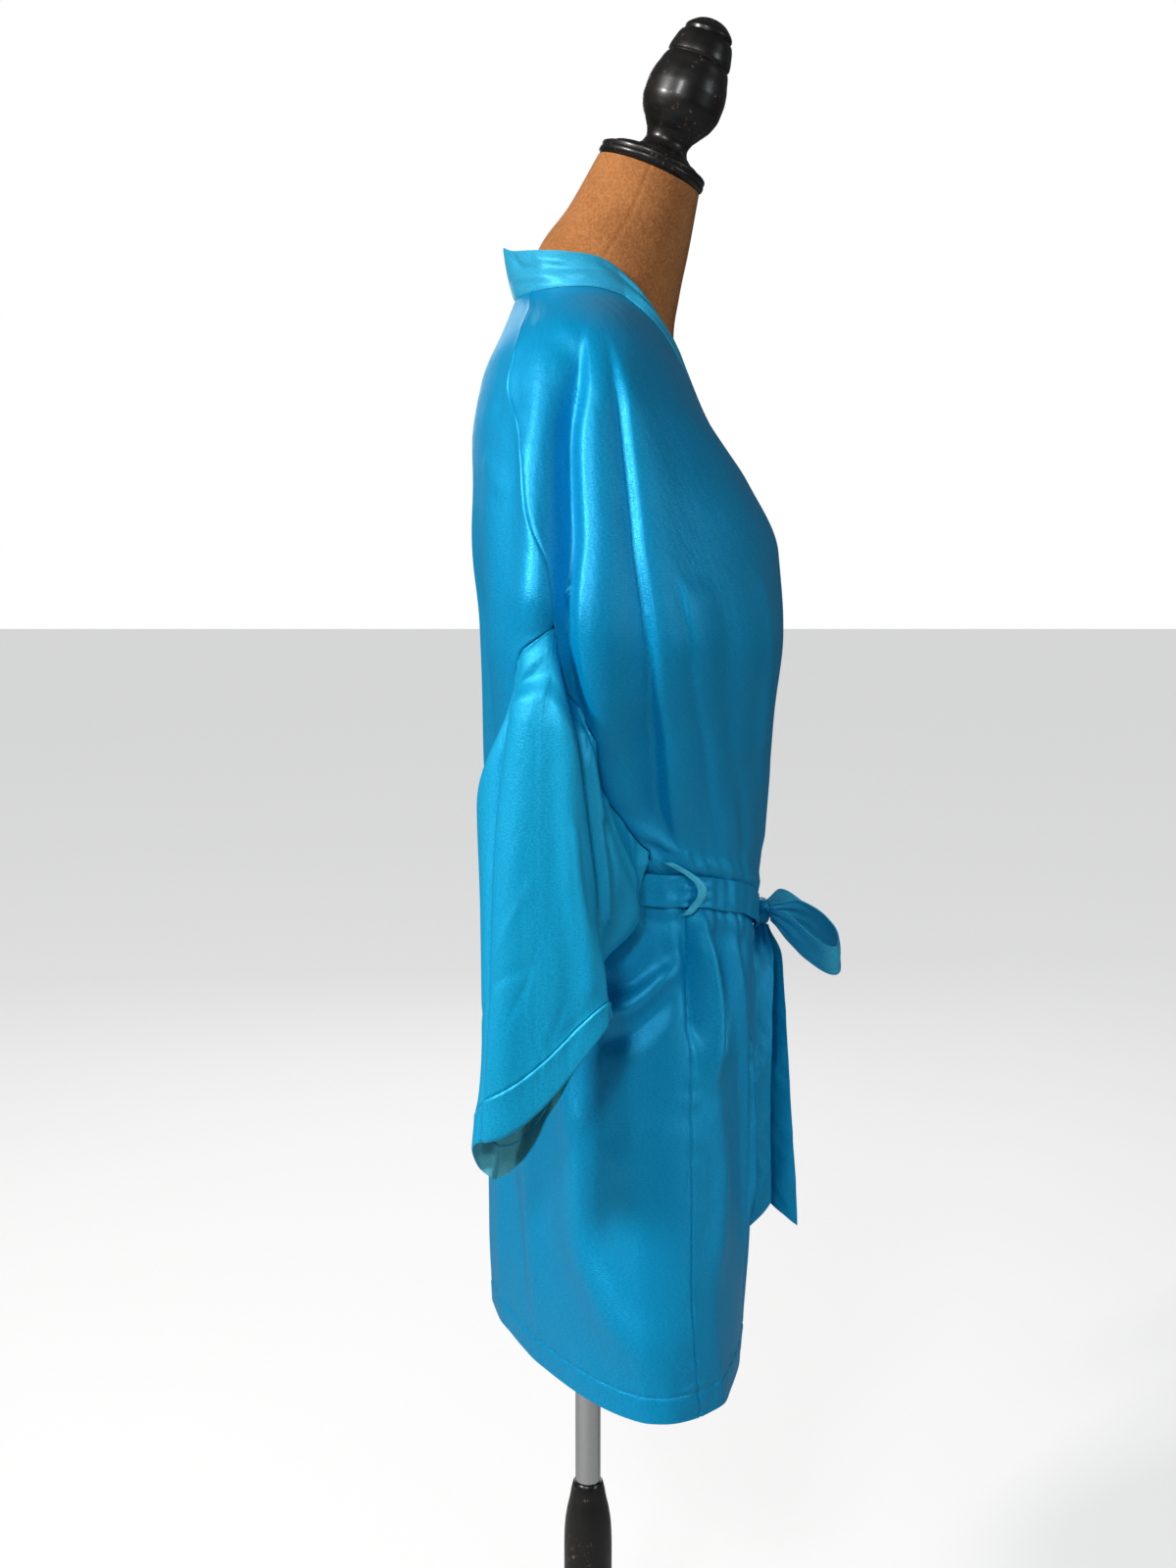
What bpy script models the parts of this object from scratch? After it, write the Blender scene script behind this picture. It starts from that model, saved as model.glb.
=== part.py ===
# Satin kimono robe, belted, on a limbless dress form with a turned stand
#
# The front of the robe faces -Y, the wearer's right is -X, and the form's pole stands on the origin.
# Heights are above the floor. An angle round the body is 0 at the centre front, 90 at the wearer's
# right side, 180 at the centre back and -90 at the wearer's left side.

import math

import bmesh
import bpy
import numpy as np
from mathutils import Matrix

# Cloth and seams
WALL = 0.0012
SEAM_GAP = 0.0006
COLLAR_GAP = 0.0012
COLLAR_FOOT_GAP = 0.0008
CUFF_GAP = 0.0014
LAP_LIFT = 0.0018
COLLAR_WIDTH = 0.038
EDGE_SHARE = 0.008

# How finely the panels are divided
ARMHOLE_ROWS = (
    1.105, 1.088, 1.066, 1.044, 1.024, 1.005, 0.988, 0.975, 0.965, 0.957, 0.950, 0.944, 0.938,
)
FRONT_COLUMNS = 19
BACK_COLUMNS = 26
COLLAR_COLUMNS_ACROSS = 3
SLEEVE_ROWS = (0.0, 0.04, 0.11, 0.19, 0.28, 0.38, 0.49, 0.60, 0.71, 0.81)
TORSO_COLUMNS = 24
ROWS_ABOVE_ARMHOLE = (1.352, 1.343, 1.330, 1.310, 1.280, 1.240, 1.195, 1.150, 1.110)
ROWS_BELOW_ARMHOLE = (0.932, 0.914, 0.893, 0.866, 0.825, 0.750, 0.640, 0.505)

# Belt
BELT_WIDTH = 0.024
BELT_HEIGHT = 0.914
BELT_SAG = 0.057
BELT_WALL = 0.0012
BELT_PINCH = 0.007
FRONT_PINCH = 0.003
BELT_HOLD = 0.038
FOLDS_HELD = 0.75
BELT_CLEAR = 0.0018
BELT_END_ANGLE = 5.2
BELT_STATIONS = 37
CARRIER_WIDTH = 0.007
CARRIER_TOP = 0.9305
CARRIER_FOOT = 0.8885
CARRIER_ANGLE = 72.5
CARRIER_DROOP = 5.5
CARRIER_CLEAR = 0.0045
CARRIER_OFF_CLOTH = 0.0012
KNOT_MIDDLE = (0.0, -0.1432, 0.857)
KNOT_HALF = (0.0105, 0.0075, 0.0105)
KNOT_ROUND = 0.005
KNOT_SQUEEZE = 0.45
BOW_DIRECTION = (-0.52, -0.85, 0.05)
BOW_LEAN = (-0.45, 0.10, 0.90)
BOW_LENGTH = 0.060
BOW_START = 0.6
BOW_CLEAR = 0.0017
BOW_OPEN = 0.014
BOW_LAYERS_APART = 0.25
BOW_DROOP = 0.034
BOW_STEP = 0.007
BOW_WIDTH = 0.030
TAIL_ROWS = 12
TAIL_SLANT = 0.019

# Landmarks of the cut
NECK_HEIGHT = 1.352
CUFF_START = 0.90
SLEEVE_CLEAR = 0.0085
SLEEVE_PROUD = 0.0016
SLEEVE_TUCK = 0.024
SLEEVE_TUCK_TURN = 138.0
SLEEVE_TUCK_SPREAD = 38.0

# Stand
ROD_RADIUS = 0.011
POST_TOP = 0.348
BASE_HEIGHT = 0.030
FORM_FLOOR = 0.700
STAND_GAP = 0.0004
CAP_TILT = math.radians(21.5)
CAP_FOOT_Y = -0.0475
CAP_FOOT_Z = 1.4462

# The robe's rings. Each is a superellipse whose middle lies at side_y: it reaches side_x at the
# sides, front_y and back_y at the centre, and square is its exponent, 2 for an ellipse.
RING_COLUMNS = (
    "height", "side_x", "side_y", "side_z", "front_y", "front_z", "back_y", "back_z",
    "front_square", "back_square",
)
ROBE_RINGS = (
    (1.352, 0.072, 0.005, 1.352, -0.070, 1.318, 0.058, 1.349, 2.0, 2.0),
    (1.335, 0.122, 0.006, 1.338, -0.080, 1.290, 0.068, 1.322, 2.0, 2.2),
    (1.305, 0.172, 0.009, 1.309, -0.0955, 1.250, 0.0835, 1.283, 2.2, 2.3),
    (1.262, 0.200, 0.013, 1.262, -0.1265, 1.203, 0.0905, 1.235, 2.2, 2.4),
    (1.195, 0.219, 0.018, 1.195, -0.149, 1.152, 0.0890, 1.180, 2.4, 2.4),
    (1.105, 0.240, 0.027, 1.105, -0.152, 1.090, 0.080, 1.100, 2.6, 2.6),
    (1.030, 0.218, 0.025, 1.030, -0.147, 1.030, 0.078, 1.030, 2.6, 2.8),
    (0.980, 0.197, 0.018, 0.980, -0.144, 0.980, 0.078, 0.980, 2.6, 2.7),
    (0.940, 0.178, 0.000, 0.940, -0.141, 0.940, 0.079, 0.940, 2.6, 2.5),
    (0.905, 0.167, -0.018, 0.905, -0.139, 0.905, 0.080, 0.905, 2.6, 2.0),
    (0.860, 0.166, -0.026, 0.860, -0.135, 0.860, 0.082, 0.860, 2.6, 1.7),
    (0.800, 0.172, -0.031, 0.800, -0.131, 0.800, 0.082, 0.800, 2.6, 1.6),
    (0.700, 0.179, -0.037, 0.700, -0.129, 0.700, 0.082, 0.700, 2.6, 1.5),
    (0.600, 0.184, -0.042, 0.600, -0.128, 0.600, 0.082, 0.602, 2.6, 1.4),
    (0.505, 0.187, -0.046, 0.503, -0.125, 0.500, 0.0815, 0.5155, 2.7, 1.4),
)

# Where the seams lie, as angles round the body at each height. The left side mirrors them.
SEAM_COLUMNS = ("height", "angle")
SHOULDER_SEAM = (
    (1.352, 126.0),
    (1.335, 109.0),
    (1.305, 105.0),
    (1.281, 105.0),
    (1.252, 100.5),
    (1.226, 98.0),
    (1.187, 95.5),
    (1.168, 93.5),
    (1.147, 91.0),
    (1.110, 89.2),
)
ARMHOLE_FRONT = (
    (1.105, 88.4),
    (1.056, 87.0),
    (1.040, 84.0),
    (1.024, 82.0),
    (0.994, 82.0),
    (0.967, 79.0),
    (0.945, 77.2),
    (0.938, 75.6),
)
ARMHOLE_BACK = (
    (1.105, 90.2),
    (1.097, 92.5),
    (1.089, 95.0),
    (1.034, 98.0),
    (1.020, 102.0),
    (1.014, 104.5),
    (1.000, 109.0),
    (0.988, 110.0),
    (0.975, 107.5),
    (0.965, 102.5),
    (0.957, 96.5),
    (0.944, 84.0),
    (0.938, 78.0),
)
SIDE_SEAM = (
    (0.932, 76.6),
    (0.908, 74.0),
    (0.887, 72.0),
    (0.833, 73.5),
    (0.768, 75.5),
    (0.656, 77.5),
    (0.595, 78.5),
    (0.505, 77.5),
)
# The right front's edge, where the collar is sewn on: past 0 it has crossed the centre.
FRONT_EDGE = (
    (1.352, 62.0),
    (1.335, 43.0),
    (1.305, 30.0),
    (1.262, 18.0),
    (1.195, 8.5),
    (1.105, 0.0),
    (1.030, -7.0),
    (0.980, -12.0),
    (0.905, -20.0),
    (0.800, -22.0),
    (0.505, -24.0),
)

# The largest folds of the body, each a soft ridge, or a trough where rise is negative
FOLD_COLUMNS = ("top", "top_angle", "foot", "foot_angle", "rise", "width")
BODY_FOLDS = (
    (1.275, 99.0, 1.105, 89.0, 0.003, 0.009),
    (1.260, 92.5, 1.060, 86.0, -0.009, 0.011),
    (1.310, 87.0, 1.020, 82.0, 0.007, 0.013),
    (1.270, 81.0, 0.960, 75.5, -0.006, 0.018),
    (1.290, 79.0, 0.910, 68.5, 0.006, 0.015),
    (1.250, 73.0, 0.920, 61.0, -0.004, 0.016),
    (1.240, 70.0, 0.900, 53.5, 0.005, 0.015),
    (1.200, 52.0, 0.910, 44.0, -0.003, 0.018),
    (1.180, 44.0, 0.890, 36.0, 0.003, 0.018),
    (1.230, 107.0, 1.030, 103.0, 0.004, 0.014),
    (1.240, 128.0, 0.930, 128.0, 0.004, 0.020),
    (1.180, 148.0, 0.920, 152.0, -0.004, 0.022),
    (1.160, 171.0, 0.925, 176.0, 0.004, 0.022),
    (1.140, 198.0, 0.930, 204.0, -0.004, 0.024),
    (1.230, 228.0, 0.925, 230.0, 0.005, 0.020),
    (1.220, 250.0, 1.020, 256.0, 0.003, 0.015),
    (1.270, -98.0, 1.105, -89.0, 0.003, 0.009),
    (1.250, -92.0, 1.060, -86.5, -0.008, 0.012),
    (1.310, -86.0, 1.010, -81.0, 0.007, 0.014),
    (1.260, -80.0, 0.970, -74.0, -0.006, 0.017),
    (1.280, -77.0, 0.905, -67.0, 0.005, 0.016),
    (1.240, -70.0, 0.930, -60.0, -0.004, 0.015),
    (1.220, -66.0, 0.900, -50.0, 0.005, 0.016),
    (1.190, -48.0, 0.900, -38.0, 0.003, 0.018),
    (0.880, 69.0, 0.790, 98.0, 0.006, 0.017),
    (0.862, 71.0, 0.750, 110.0, 0.004, 0.020),
    (0.892, 74.0, 0.835, 99.0, -0.004, 0.015),
    (0.905, 65.0, 0.700, 63.0, 0.006, 0.012),
    (0.880, 57.0, 0.560, 58.0, -0.004, 0.016),
    (0.880, 46.0, 0.540, 47.0, 0.004, 0.018),
    (0.860, 29.0, 0.530, 31.0, -0.003, 0.018),
    (0.860, 113.0, 0.530, 111.0, -0.004, 0.018),
    (0.830, 106.0, 0.520, 101.0, 0.004, 0.018),
    (0.880, 134.0, 0.520, 131.0, 0.004, 0.022),
    (0.880, 158.0, 0.530, 161.0, -0.004, 0.022),
    (0.870, 183.0, 0.520, 185.0, 0.004, 0.024),
    (0.880, 206.0, 0.530, 203.0, -0.004, 0.022),
    (0.870, 230.0, 0.520, 233.0, 0.004, 0.022),
    (0.860, 250.0, 0.540, 253.0, -0.003, 0.020),
    (0.885, -70.0, 0.785, -100.0, 0.006, 0.018),
    (0.860, -72.0, 0.740, -112.0, 0.004, 0.020),
    (0.900, -63.0, 0.690, -60.0, 0.006, 0.013),
    (0.870, -68.0, 0.540, -70.0, -0.004, 0.016),
    (0.860, -57.0, 0.530, -58.0, 0.003, 0.016),
)

# How the collar leaves its seam: up from it, in towards the neck, and across the chest
COLLAR_COLUMNS = ("angle", "height", "rise", "inward", "across")
COLLAR_PATH = (
    (180.0, 1.352, 0.0395, -0.004, 0.000),
    (160.0, 1.352, 0.0370, -0.002, 0.000),
    (135.0, 1.352, 0.0330, 0.004, 0.000),
    (110.0, 1.352, 0.0290, 0.009, 0.000),
    (90.0, 1.352, 0.0260, 0.012, 0.000),
    (75.0, 1.352, 0.0250, 0.013, 0.001),
    (62.0, 1.352, 0.0230, 0.013, 0.004),
)

# A sleeve's rings below the armhole: the share of its length, and where each ring passes the
# outside, the front, the inside and the back. The table is the right sleeve's.
SLEEVE_COLUMNS = ("down", "outer", "front", "inner", "back")
SLEEVE_RINGS = (
    (0.20, (-0.246, 0.030, 1.035), (-0.232, -0.006, 0.975), (-0.172, -0.029, 0.886), (-0.190, 0.075, 0.955)),
    (0.42, (-0.248, 0.033, 0.962), (-0.238, -0.005, 0.920), (-0.186, 0.000, 0.852), (-0.206, 0.075, 0.890)),
    (0.70, (-0.249, 0.036, 0.868), (-0.238, -0.012, 0.868), (-0.195, 0.024, 0.785), (-0.216, 0.076, 0.805)),
    (1.00, (-0.248, 0.037, 0.766), (-0.234, -0.018, 0.828), (-0.199, 0.044, 0.712), (-0.226, 0.083, 0.733)),
)
SLEEVE_FOLD_COLUMNS = ("top", "top_turn", "foot", "foot_turn", "rise", "spread")
SLEEVE_FOLDS = (
    (0.02, 40.0, 0.42, 52.0, -0.008, 15.0),
    (0.05, 70.0, 0.55, 78.0, 0.004, 13.0),
    (0.06, 302.0, 0.85, 304.0, -0.006, 14.0),
    (0.10, 332.0, 0.90, 328.0, 0.004, 14.0),
    (0.25, 12.0, 0.95, 24.0, 0.003, 16.0),
    (0.30, 352.0, 0.98, 358.0, -0.003, 14.0),
    (0.15, 130.0, 0.70, 140.0, -0.004, 16.0),
    (0.20, 235.0, 0.95, 240.0, 0.003, 18.0),
)

# The belt's free ends: the middle of the strip at each station, and its turn about the vertical
TAIL_COLUMNS = ("x", "y", "z", "turn")
TAIL_RIGHT = (
    (-0.0060, -0.1445, 0.8461, 10.0),
    (-0.0160, -0.1440, 0.8180, 30.0),
    (-0.0215, -0.1445, 0.7800, 35.0),
    (-0.0215, -0.1450, 0.7000, 28.0),
    (-0.0205, -0.1480, 0.5990, 25.0),
)
TAIL_LEFT = (
    (0.0050, -0.1460, 0.8461, -10.0),
    (0.0090, -0.1520, 0.8180, -20.0),
    (0.0130, -0.1560, 0.7800, -24.0),
    (0.0140, -0.1610, 0.7000, -20.0),
    (0.0150, -0.1690, 0.5860, -15.0),
)

# The form, clear of the robe's inner face and close under its shoulders
TORSO_RINGS = (
    (1.450, 0.0405, -0.0475, 1.4462, -0.0870, 1.4306, -0.0080, 1.4618, 2.0, 2.0),
    (1.410, 0.0450, -0.0320, 1.4080, -0.0795, 1.3890, 0.0155, 1.4220, 2.0, 2.0),
    (1.375, 0.0490, -0.0110, 1.3750, -0.0720, 1.3520, 0.0400, 1.3880, 2.0, 2.0),
    (1.352, 0.0600, 0.0030, 1.3480, -0.0680, 1.3220, 0.0515, 1.3500, 2.0, 2.0),
    (1.335, 0.1170, 0.0050, 1.3361, -0.0750, 1.2890, 0.0645, 1.3200, 2.0, 2.2),
    (1.305, 0.1684, 0.0085, 1.3063, -0.0875, 1.2490, 0.0765, 1.2830, 2.2, 2.3),
    (1.262, 0.1850, 0.0100, 1.2590, -0.1130, 1.2040, 0.0800, 1.2380, 2.2, 2.4),
    (1.195, 0.1740, 0.0000, 1.1950, -0.1380, 1.1550, 0.0780, 1.1850, 2.3, 2.4),
    (1.105, 0.1540, -0.0080, 1.1050, -0.1410, 1.0950, 0.0700, 1.1000, 2.4, 2.4),
    (1.030, 0.1430, -0.0150, 1.0300, -0.1240, 1.0300, 0.0640, 1.0300, 2.3, 2.3),
    (0.905, 0.1200, -0.0250, 0.9050, -0.1020, 0.9050, 0.0460, 0.9050, 2.2, 2.2),
    (0.800, 0.1450, -0.0280, 0.8000, -0.1080, 0.8000, 0.0580, 0.8000, 2.2, 2.0),
    (0.700, 0.1540, -0.0300, 0.7000, -0.1080, 0.7000, 0.0600, 0.7000, 2.2, 2.0),
)

# The turned wood, as radius and height, from top to bottom
FLANGE_TOP = 0.0150
FINIAL_SHIFT = 0.0042
FLANGE_OUTLINE = (
    (0.0330, 0.0150), (0.0355, 0.0142), (0.0365, 0.0125), (0.0385, 0.0116), (0.0425, 0.0108),
    (0.0435, 0.0090), (0.0430, 0.0072), (0.0438, 0.0058), (0.0436, 0.0030), (0.0415, 0.0004),
)
FINIAL_COLUMNS = ("height", "radius")
FINIAL_OUTLINE = (
    (0.0000, 0.0255), (0.0030, 0.0235), (0.0065, 0.0195), (0.0120, 0.0176), (0.0170, 0.0188),
    (0.0240, 0.0232), (0.0330, 0.0290), (0.0430, 0.0318), (0.0520, 0.0319), (0.0600, 0.0308),
    (0.0680, 0.0284), (0.0750, 0.0260), (0.0770, 0.0244), (0.0790, 0.0256), (0.0880, 0.0238),
    (0.0950, 0.0212), (0.0970, 0.0192), (0.0990, 0.0196), (0.1060, 0.0140), (0.1090, 0.0085),
    (0.1105, 0.0010),
)
POST_RADIUS = 0.0210
POST_OUTLINE = (
    (0.0120, 0.3480), (0.0135, 0.3450), (0.0148, 0.3395), (0.0165, 0.3300), (0.0197, 0.3130),
    (0.0207, 0.3000), (0.0210, 0.2870), (0.0210, 0.1100), (0.0250, 0.1060), (0.0250, 0.0960),
    (0.0210, 0.0920),
)
BASE_OUTLINE = (
    (0.0420, 0.0300), (0.0480, 0.0280), (0.0520, 0.0240), (0.1000, 0.0190), (0.1450, 0.0170),
    (0.1590, 0.0145), (0.1650, 0.0090), (0.1650, 0.0000),
)


def through(knots, values, at):
    """Values between knots, on curves that pass through every knot and never overshoot it."""
    knots, values = np.asarray(knots, float), np.asarray(values, float)
    at = np.clip(np.asarray(at, float), knots[0], knots[-1])
    spread = (slice(None),) + (None,) * (values.ndim - 1)
    steps = np.diff(knots)
    slopes = np.diff(values, axis=0) / steps[spread]
    before, after = slopes[:-1], slopes[1:]
    same = before * after > 0
    first = (2 * steps[1:] + steps[:-1])[spread]
    second = (steps[1:] + 2 * steps[:-1])[spread]
    weighted = first / np.where(same, before, 1.0) + second / np.where(same, after, 1.0)
    inner = np.where(same, (first + second) / weighted, 0.0)
    tangents = np.concatenate([slopes[:1], inner, slopes[-1:]])
    i = np.clip(np.searchsorted(knots, at, side="right") - 1, 0, len(steps) - 1)
    widen = (...,) + (None,) * (values.ndim - 1)
    step = steps[i][widen]
    t = (at - knots[i])[widen] / step
    return (
        (1 + 2 * t) * (1 - t) ** 2 * values[i]
        + t * (1 - t) ** 2 * step * tangents[i]
        + t * t * (3 - 2 * t) * values[i + 1]
        + t * t * (t - 1) * step * tangents[i + 1]
    )


def rows_at(table, height):
    """Every column of a table at the given heights."""
    rows = np.array(sorted(table), float)
    return through(rows[:, 0], rows, height)


def seam_angle(table, height):
    return rows_at(table, height)[..., 1]


def ease(low, high, x):
    t = np.clip((np.asarray(x, float) - low) / (high - low), 0.0, 1.0)
    return t * t * (3 - 2 * t)


def unit(vectors):
    return vectors / np.linalg.norm(vectors, axis=-1, keepdims=True)


def ring_points(table, angle, height, dip=2.0):
    """Points on a stack of rings, at angles in degrees and at the table's own heights.

    A ring falls from side to centre as a power of the share that it has gone: 1 is a straight fall.
    """
    angle, height = np.broadcast_arrays(np.asarray(angle, float), np.asarray(height, float))
    row = rows_at(table, height)
    side_x, side_y, side_z, front_y, front_z, back_y, back_z, front_n, back_n = (
        row[..., k] for k in range(1, 10)
    )
    sine, cosine = np.sin(np.radians(angle)), np.cos(np.radians(angle))
    front = cosine >= 0
    deep = np.where(front, side_y - front_y, back_y - side_y)
    square = np.where(front, front_n, back_n)
    centre_z = np.where(front, front_z, back_z)
    inverse = (np.abs(sine) / side_x) ** square + (np.abs(cosine) / deep) ** square
    reach = inverse ** (-1 / square)
    z = side_z + (centre_z - side_z) * (reach * np.abs(cosine) / deep) ** dip
    return np.stack([-reach * sine, side_y - reach * cosine, z], axis=-1)


def outward(table, angle, height):
    """The unit direction that leaves the rings' surface at each point."""
    turn, drop = 0.5, 0.002
    around = ring_points(table, angle + turn, height) - ring_points(table, angle - turn, height)
    high = np.minimum(height + drop, table[0][0])
    low = np.maximum(height - drop, table[-1][0])
    upward = ring_points(table, angle, high) - ring_points(table, angle, low)
    return unit(np.cross(upward, around))


def belt_middle(angle):
    """The height of the belt's middle: it sags to the knot at the centre front."""
    return BELT_HEIGHT - BELT_SAG * ((1 + np.cos(np.radians(angle))) / 2) ** 5


def angle_apart(a, b):
    return (a - b + 180.0) % 360.0 - 180.0


def folds_at(angle, height):
    """How far the cloth stands out at each point: its folds, and the pinch of the belt."""
    rings = rows_at(ROBE_RINGS, height)
    radius = (rings[..., 1] + rings[..., 6] - rings[..., 2]) / 2
    stands = np.zeros(np.broadcast(angle, height).shape)
    for top, top_angle, foot, foot_angle, rise, width in BODY_FOLDS:
        along = (top - height) / (top - foot)
        middle = top_angle + (foot_angle - top_angle) * along
        apart = np.radians(angle_apart(angle, middle)) * radius / width
        fade = ease(-0.05, 0.25, along) * (1 - ease(0.75, 1.05, along))
        stands = stands + rise * np.exp(-(apart**2)) * fade
    held = np.exp(-(((height - belt_middle(angle)) / BELT_HOLD) ** 2))
    front = ((1 + np.cos(np.radians(angle))) / 2) ** 2
    pinch = BELT_PINCH + (FRONT_PINCH - BELT_PINCH) * front
    return stands * (1 - FOLDS_HELD * held) - pinch * held


def robe(angle, height, lift=0.0):
    """Points on the robe's outer face, moved out by lift."""
    angle, height = np.broadcast_arrays(np.asarray(angle, float), np.asarray(height, float))
    stand = folds_at(angle, height) + lift
    out = outward(ROBE_RINGS, angle, height)
    return ring_points(ROBE_RINGS, angle, height) + out * stand[..., None]


def lap_lift(own_angle, height):
    """How far a front is moved at the wrap, so that the right one lies over the left one."""
    return LAP_LIFT * ease(62.0, 48.0, own_angle) * ease(1.30, 1.22, height)


def finish(name, colour, roughness, metallic=0.0):
    material = bpy.data.materials.new(name)
    material.use_nodes = True
    shader = material.node_tree.nodes["Principled BSDF"]
    shader.inputs["Base Color"].default_value = (*colour, 1)
    shader.inputs["Roughness"].default_value = roughness
    shader.inputs["Metallic"].default_value = metallic
    return material


def place(name, mesh, material):
    """An object of the part from a mesh, shaded smooth with crisp edges."""
    mesh.materials.append(material)
    mesh.shade_smooth()
    mesh.set_sharp_from_angle(angle=math.radians(50))
    piece = bpy.data.objects.new(name, mesh)
    PARTS.objects.link(piece)
    return piece


def sheet(name, points, material, wall=WALL, tube=False, flip=False):
    """A wall of cloth through a grid of points, thickened inwards from its outer face."""
    rows, columns = points.shape[:2]
    faces = []
    for j in range(rows - 1):
        for i in range(columns if tube else columns - 1):
            k = (i + 1) % columns
            one, two = (j + 1) * columns + i, j * columns + k
            if not flip:
                one, two = two, one
            faces.append((j * columns + i, one, (j + 1) * columns + k, two))
    mesh = bpy.data.meshes.new(name)
    mesh.from_pydata(points.reshape(-1, 3).tolist(), [], faces)
    piece = place(name, mesh, material)
    solidify = piece.modifiers.new("Wall", "SOLIDIFY")
    solidify.thickness = wall
    solidify.offset = -1
    solidify.use_quality_normals = True
    return piece


def panel_heights():
    """The rows of a body panel, from the neck to the hem."""
    return np.concatenate([ROWS_ABOVE_ARMHOLE, ARMHOLE_ROWS, ROWS_BELOW_ARMHOLE])


def gap_angle(height):
    """The angle round the body that a seam's gap covers at each height."""
    return np.degrees(SEAM_GAP / np.minimum(rows_at(ROBE_RINGS, height)[..., 1], 0.20))


def side_edge(height, front):
    """The angle of a panel's outer edge, from the neck to the hem, clear of its neighbour."""
    hole = ARMHOLE_FRONT if front else ARMHOLE_BACK
    away = gap_angle(height) / 2 * (-1 if front else 1)
    top, under = ARMHOLE_ROWS[0], ARMHOLE_ROWS[-1]
    seam = np.where(height > top, seam_angle(SHOULDER_SEAM, height), seam_angle(SIDE_SEAM, height))
    at_hole = (height < top + 1e-6) & (height > under - 1e-6)
    return np.where(at_hole, seam_angle(hole, height), seam + away)


def shares_across(columns):
    """Even shares from edge to edge, with one more close to each edge."""
    even = np.linspace(0, 1, columns)
    return np.concatenate([[0.0, EDGE_SHARE], even[1:-1], [1 - EDGE_SHARE, 1.0]])


def front_panel(name, side, material):
    height = panel_heights()
    outer = side_edge(height, front=True)
    inner = seam_angle(FRONT_EDGE, height)
    share = shares_across(FRONT_COLUMNS)
    angle = inner[:, None] + (outer - inner)[:, None] * share
    tall = height[:, None] * np.ones(len(share))
    points = robe(side * angle, tall, side * lap_lift(angle, tall))
    return sheet(name, points, material, flip=side < 0)


def back_panel(name, material):
    height = panel_heights()
    edge = side_edge(height, front=False)
    share = shares_across(BACK_COLUMNS)
    angle = edge[:, None] + (360.0 - 2 * edge)[:, None] * share
    return sheet(name, robe(angle, height[:, None] * np.ones(len(share))), material)


def collar_path():
    """The stations of one half of the collar: round the neck, then down the front edge."""
    stations = list(COLLAR_PATH)
    start = 180.0 - math.degrees(SEAM_GAP / 0.05)
    stations[0] = (start, *stations[0][1:])
    _, _, rise, inward, across = stations[-1]
    for height in panel_heights()[1:]:
        angle = float(seam_angle(FRONT_EDGE, height))
        stand = float(1 - ease(NECK_HEIGHT, 1.290, height))
        wide = COLLAR_WIDTH + (across - COLLAR_WIDTH) * stand
        stations.append((angle, height, rise * stand, inward * stand, wide))
    return np.array(stations)


def collar_half(name, side, material):
    """The neckband: it stands up round the neck and lies on the chest down the front edge."""
    path = collar_path()
    angle, height, rise, inward, across = (path[:, k] for k in range(5))
    ring = rows_at(ROBE_RINGS, height)
    deep = np.maximum(ring[:, 2] - ring[:, 4], 0.05)
    at_neck = height > NECK_HEIGHT - 1e-6
    lines = []
    for share in np.linspace(0, 1, COLLAR_COLUMNS_ACROSS):
        step = np.where(at_neck, 0.0, COLLAR_GAP + share * across)
        turned = angle - np.degrees(step / deep)
        line = robe(side * turned, height, side * lap_lift(turned, height))
        level = np.stack([-line[:, 0], ring[:, 2] - line[:, 1], 0 * height], axis=-1)
        line = line + unit(level) * (inward * share)[:, None]
        line[:, 2] += np.where(at_neck, COLLAR_FOOT_GAP, 0.0) + rise * share
        lines.append(line)
    return sheet(name, np.stack(lines, axis=1), material, flip=side > 0)


def armhole_ring(side):
    """The loop on which a sleeve is set: down the armhole's front edge and up its back one.

    The second value is each point's turn round the sleeve, 0 at the top and 180 under the arm.
    """
    height = np.array(ARMHOLE_ROWS)
    turn = 180.0 * (height[0] - height) / (height[0] - height[-1])
    clear, proud = gap_angle(height), SLEEVE_PROUD * turn / 180.0
    front = robe(side * (seam_angle(ARMHOLE_FRONT, height) + clear), height, proud)
    back = robe(side * (seam_angle(ARMHOLE_BACK, height) - clear), height, proud)
    ends = (height[[0, -1]] + (-SEAM_GAP, SEAM_GAP))
    middle = (seam_angle(ARMHOLE_FRONT, ends) + seam_angle(ARMHOLE_BACK, ends)) / 2
    top, under = robe(side * middle, ends, proud[[0, -1]])
    turns = np.concatenate([turn, 360.0 - turn[-2:0:-1]])
    return np.concatenate([[top], front[1:-1], [under], back[-2:0:-1]]), turns


def clear_of_body(points, clear):
    """The points, moved out from the body where they are closer to the robe than clear."""
    height = points[..., 2]
    level = rows_at(ROBE_RINGS, height)[..., 2]
    away = np.stack([points[..., 0], points[..., 1] - level, 0 * height], axis=-1)
    reach = np.hypot(away[..., 0], away[..., 1])
    angle = np.degrees(np.arctan2(-away[..., 0], -away[..., 1]))
    cloth = robe(angle, height)
    least = np.hypot(cloth[..., 0], cloth[..., 1] - level) + clear
    move = np.where(clear > 0, np.maximum(least - reach, 0.0), 0.0)
    return points + unit(away) * move[..., None]


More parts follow.
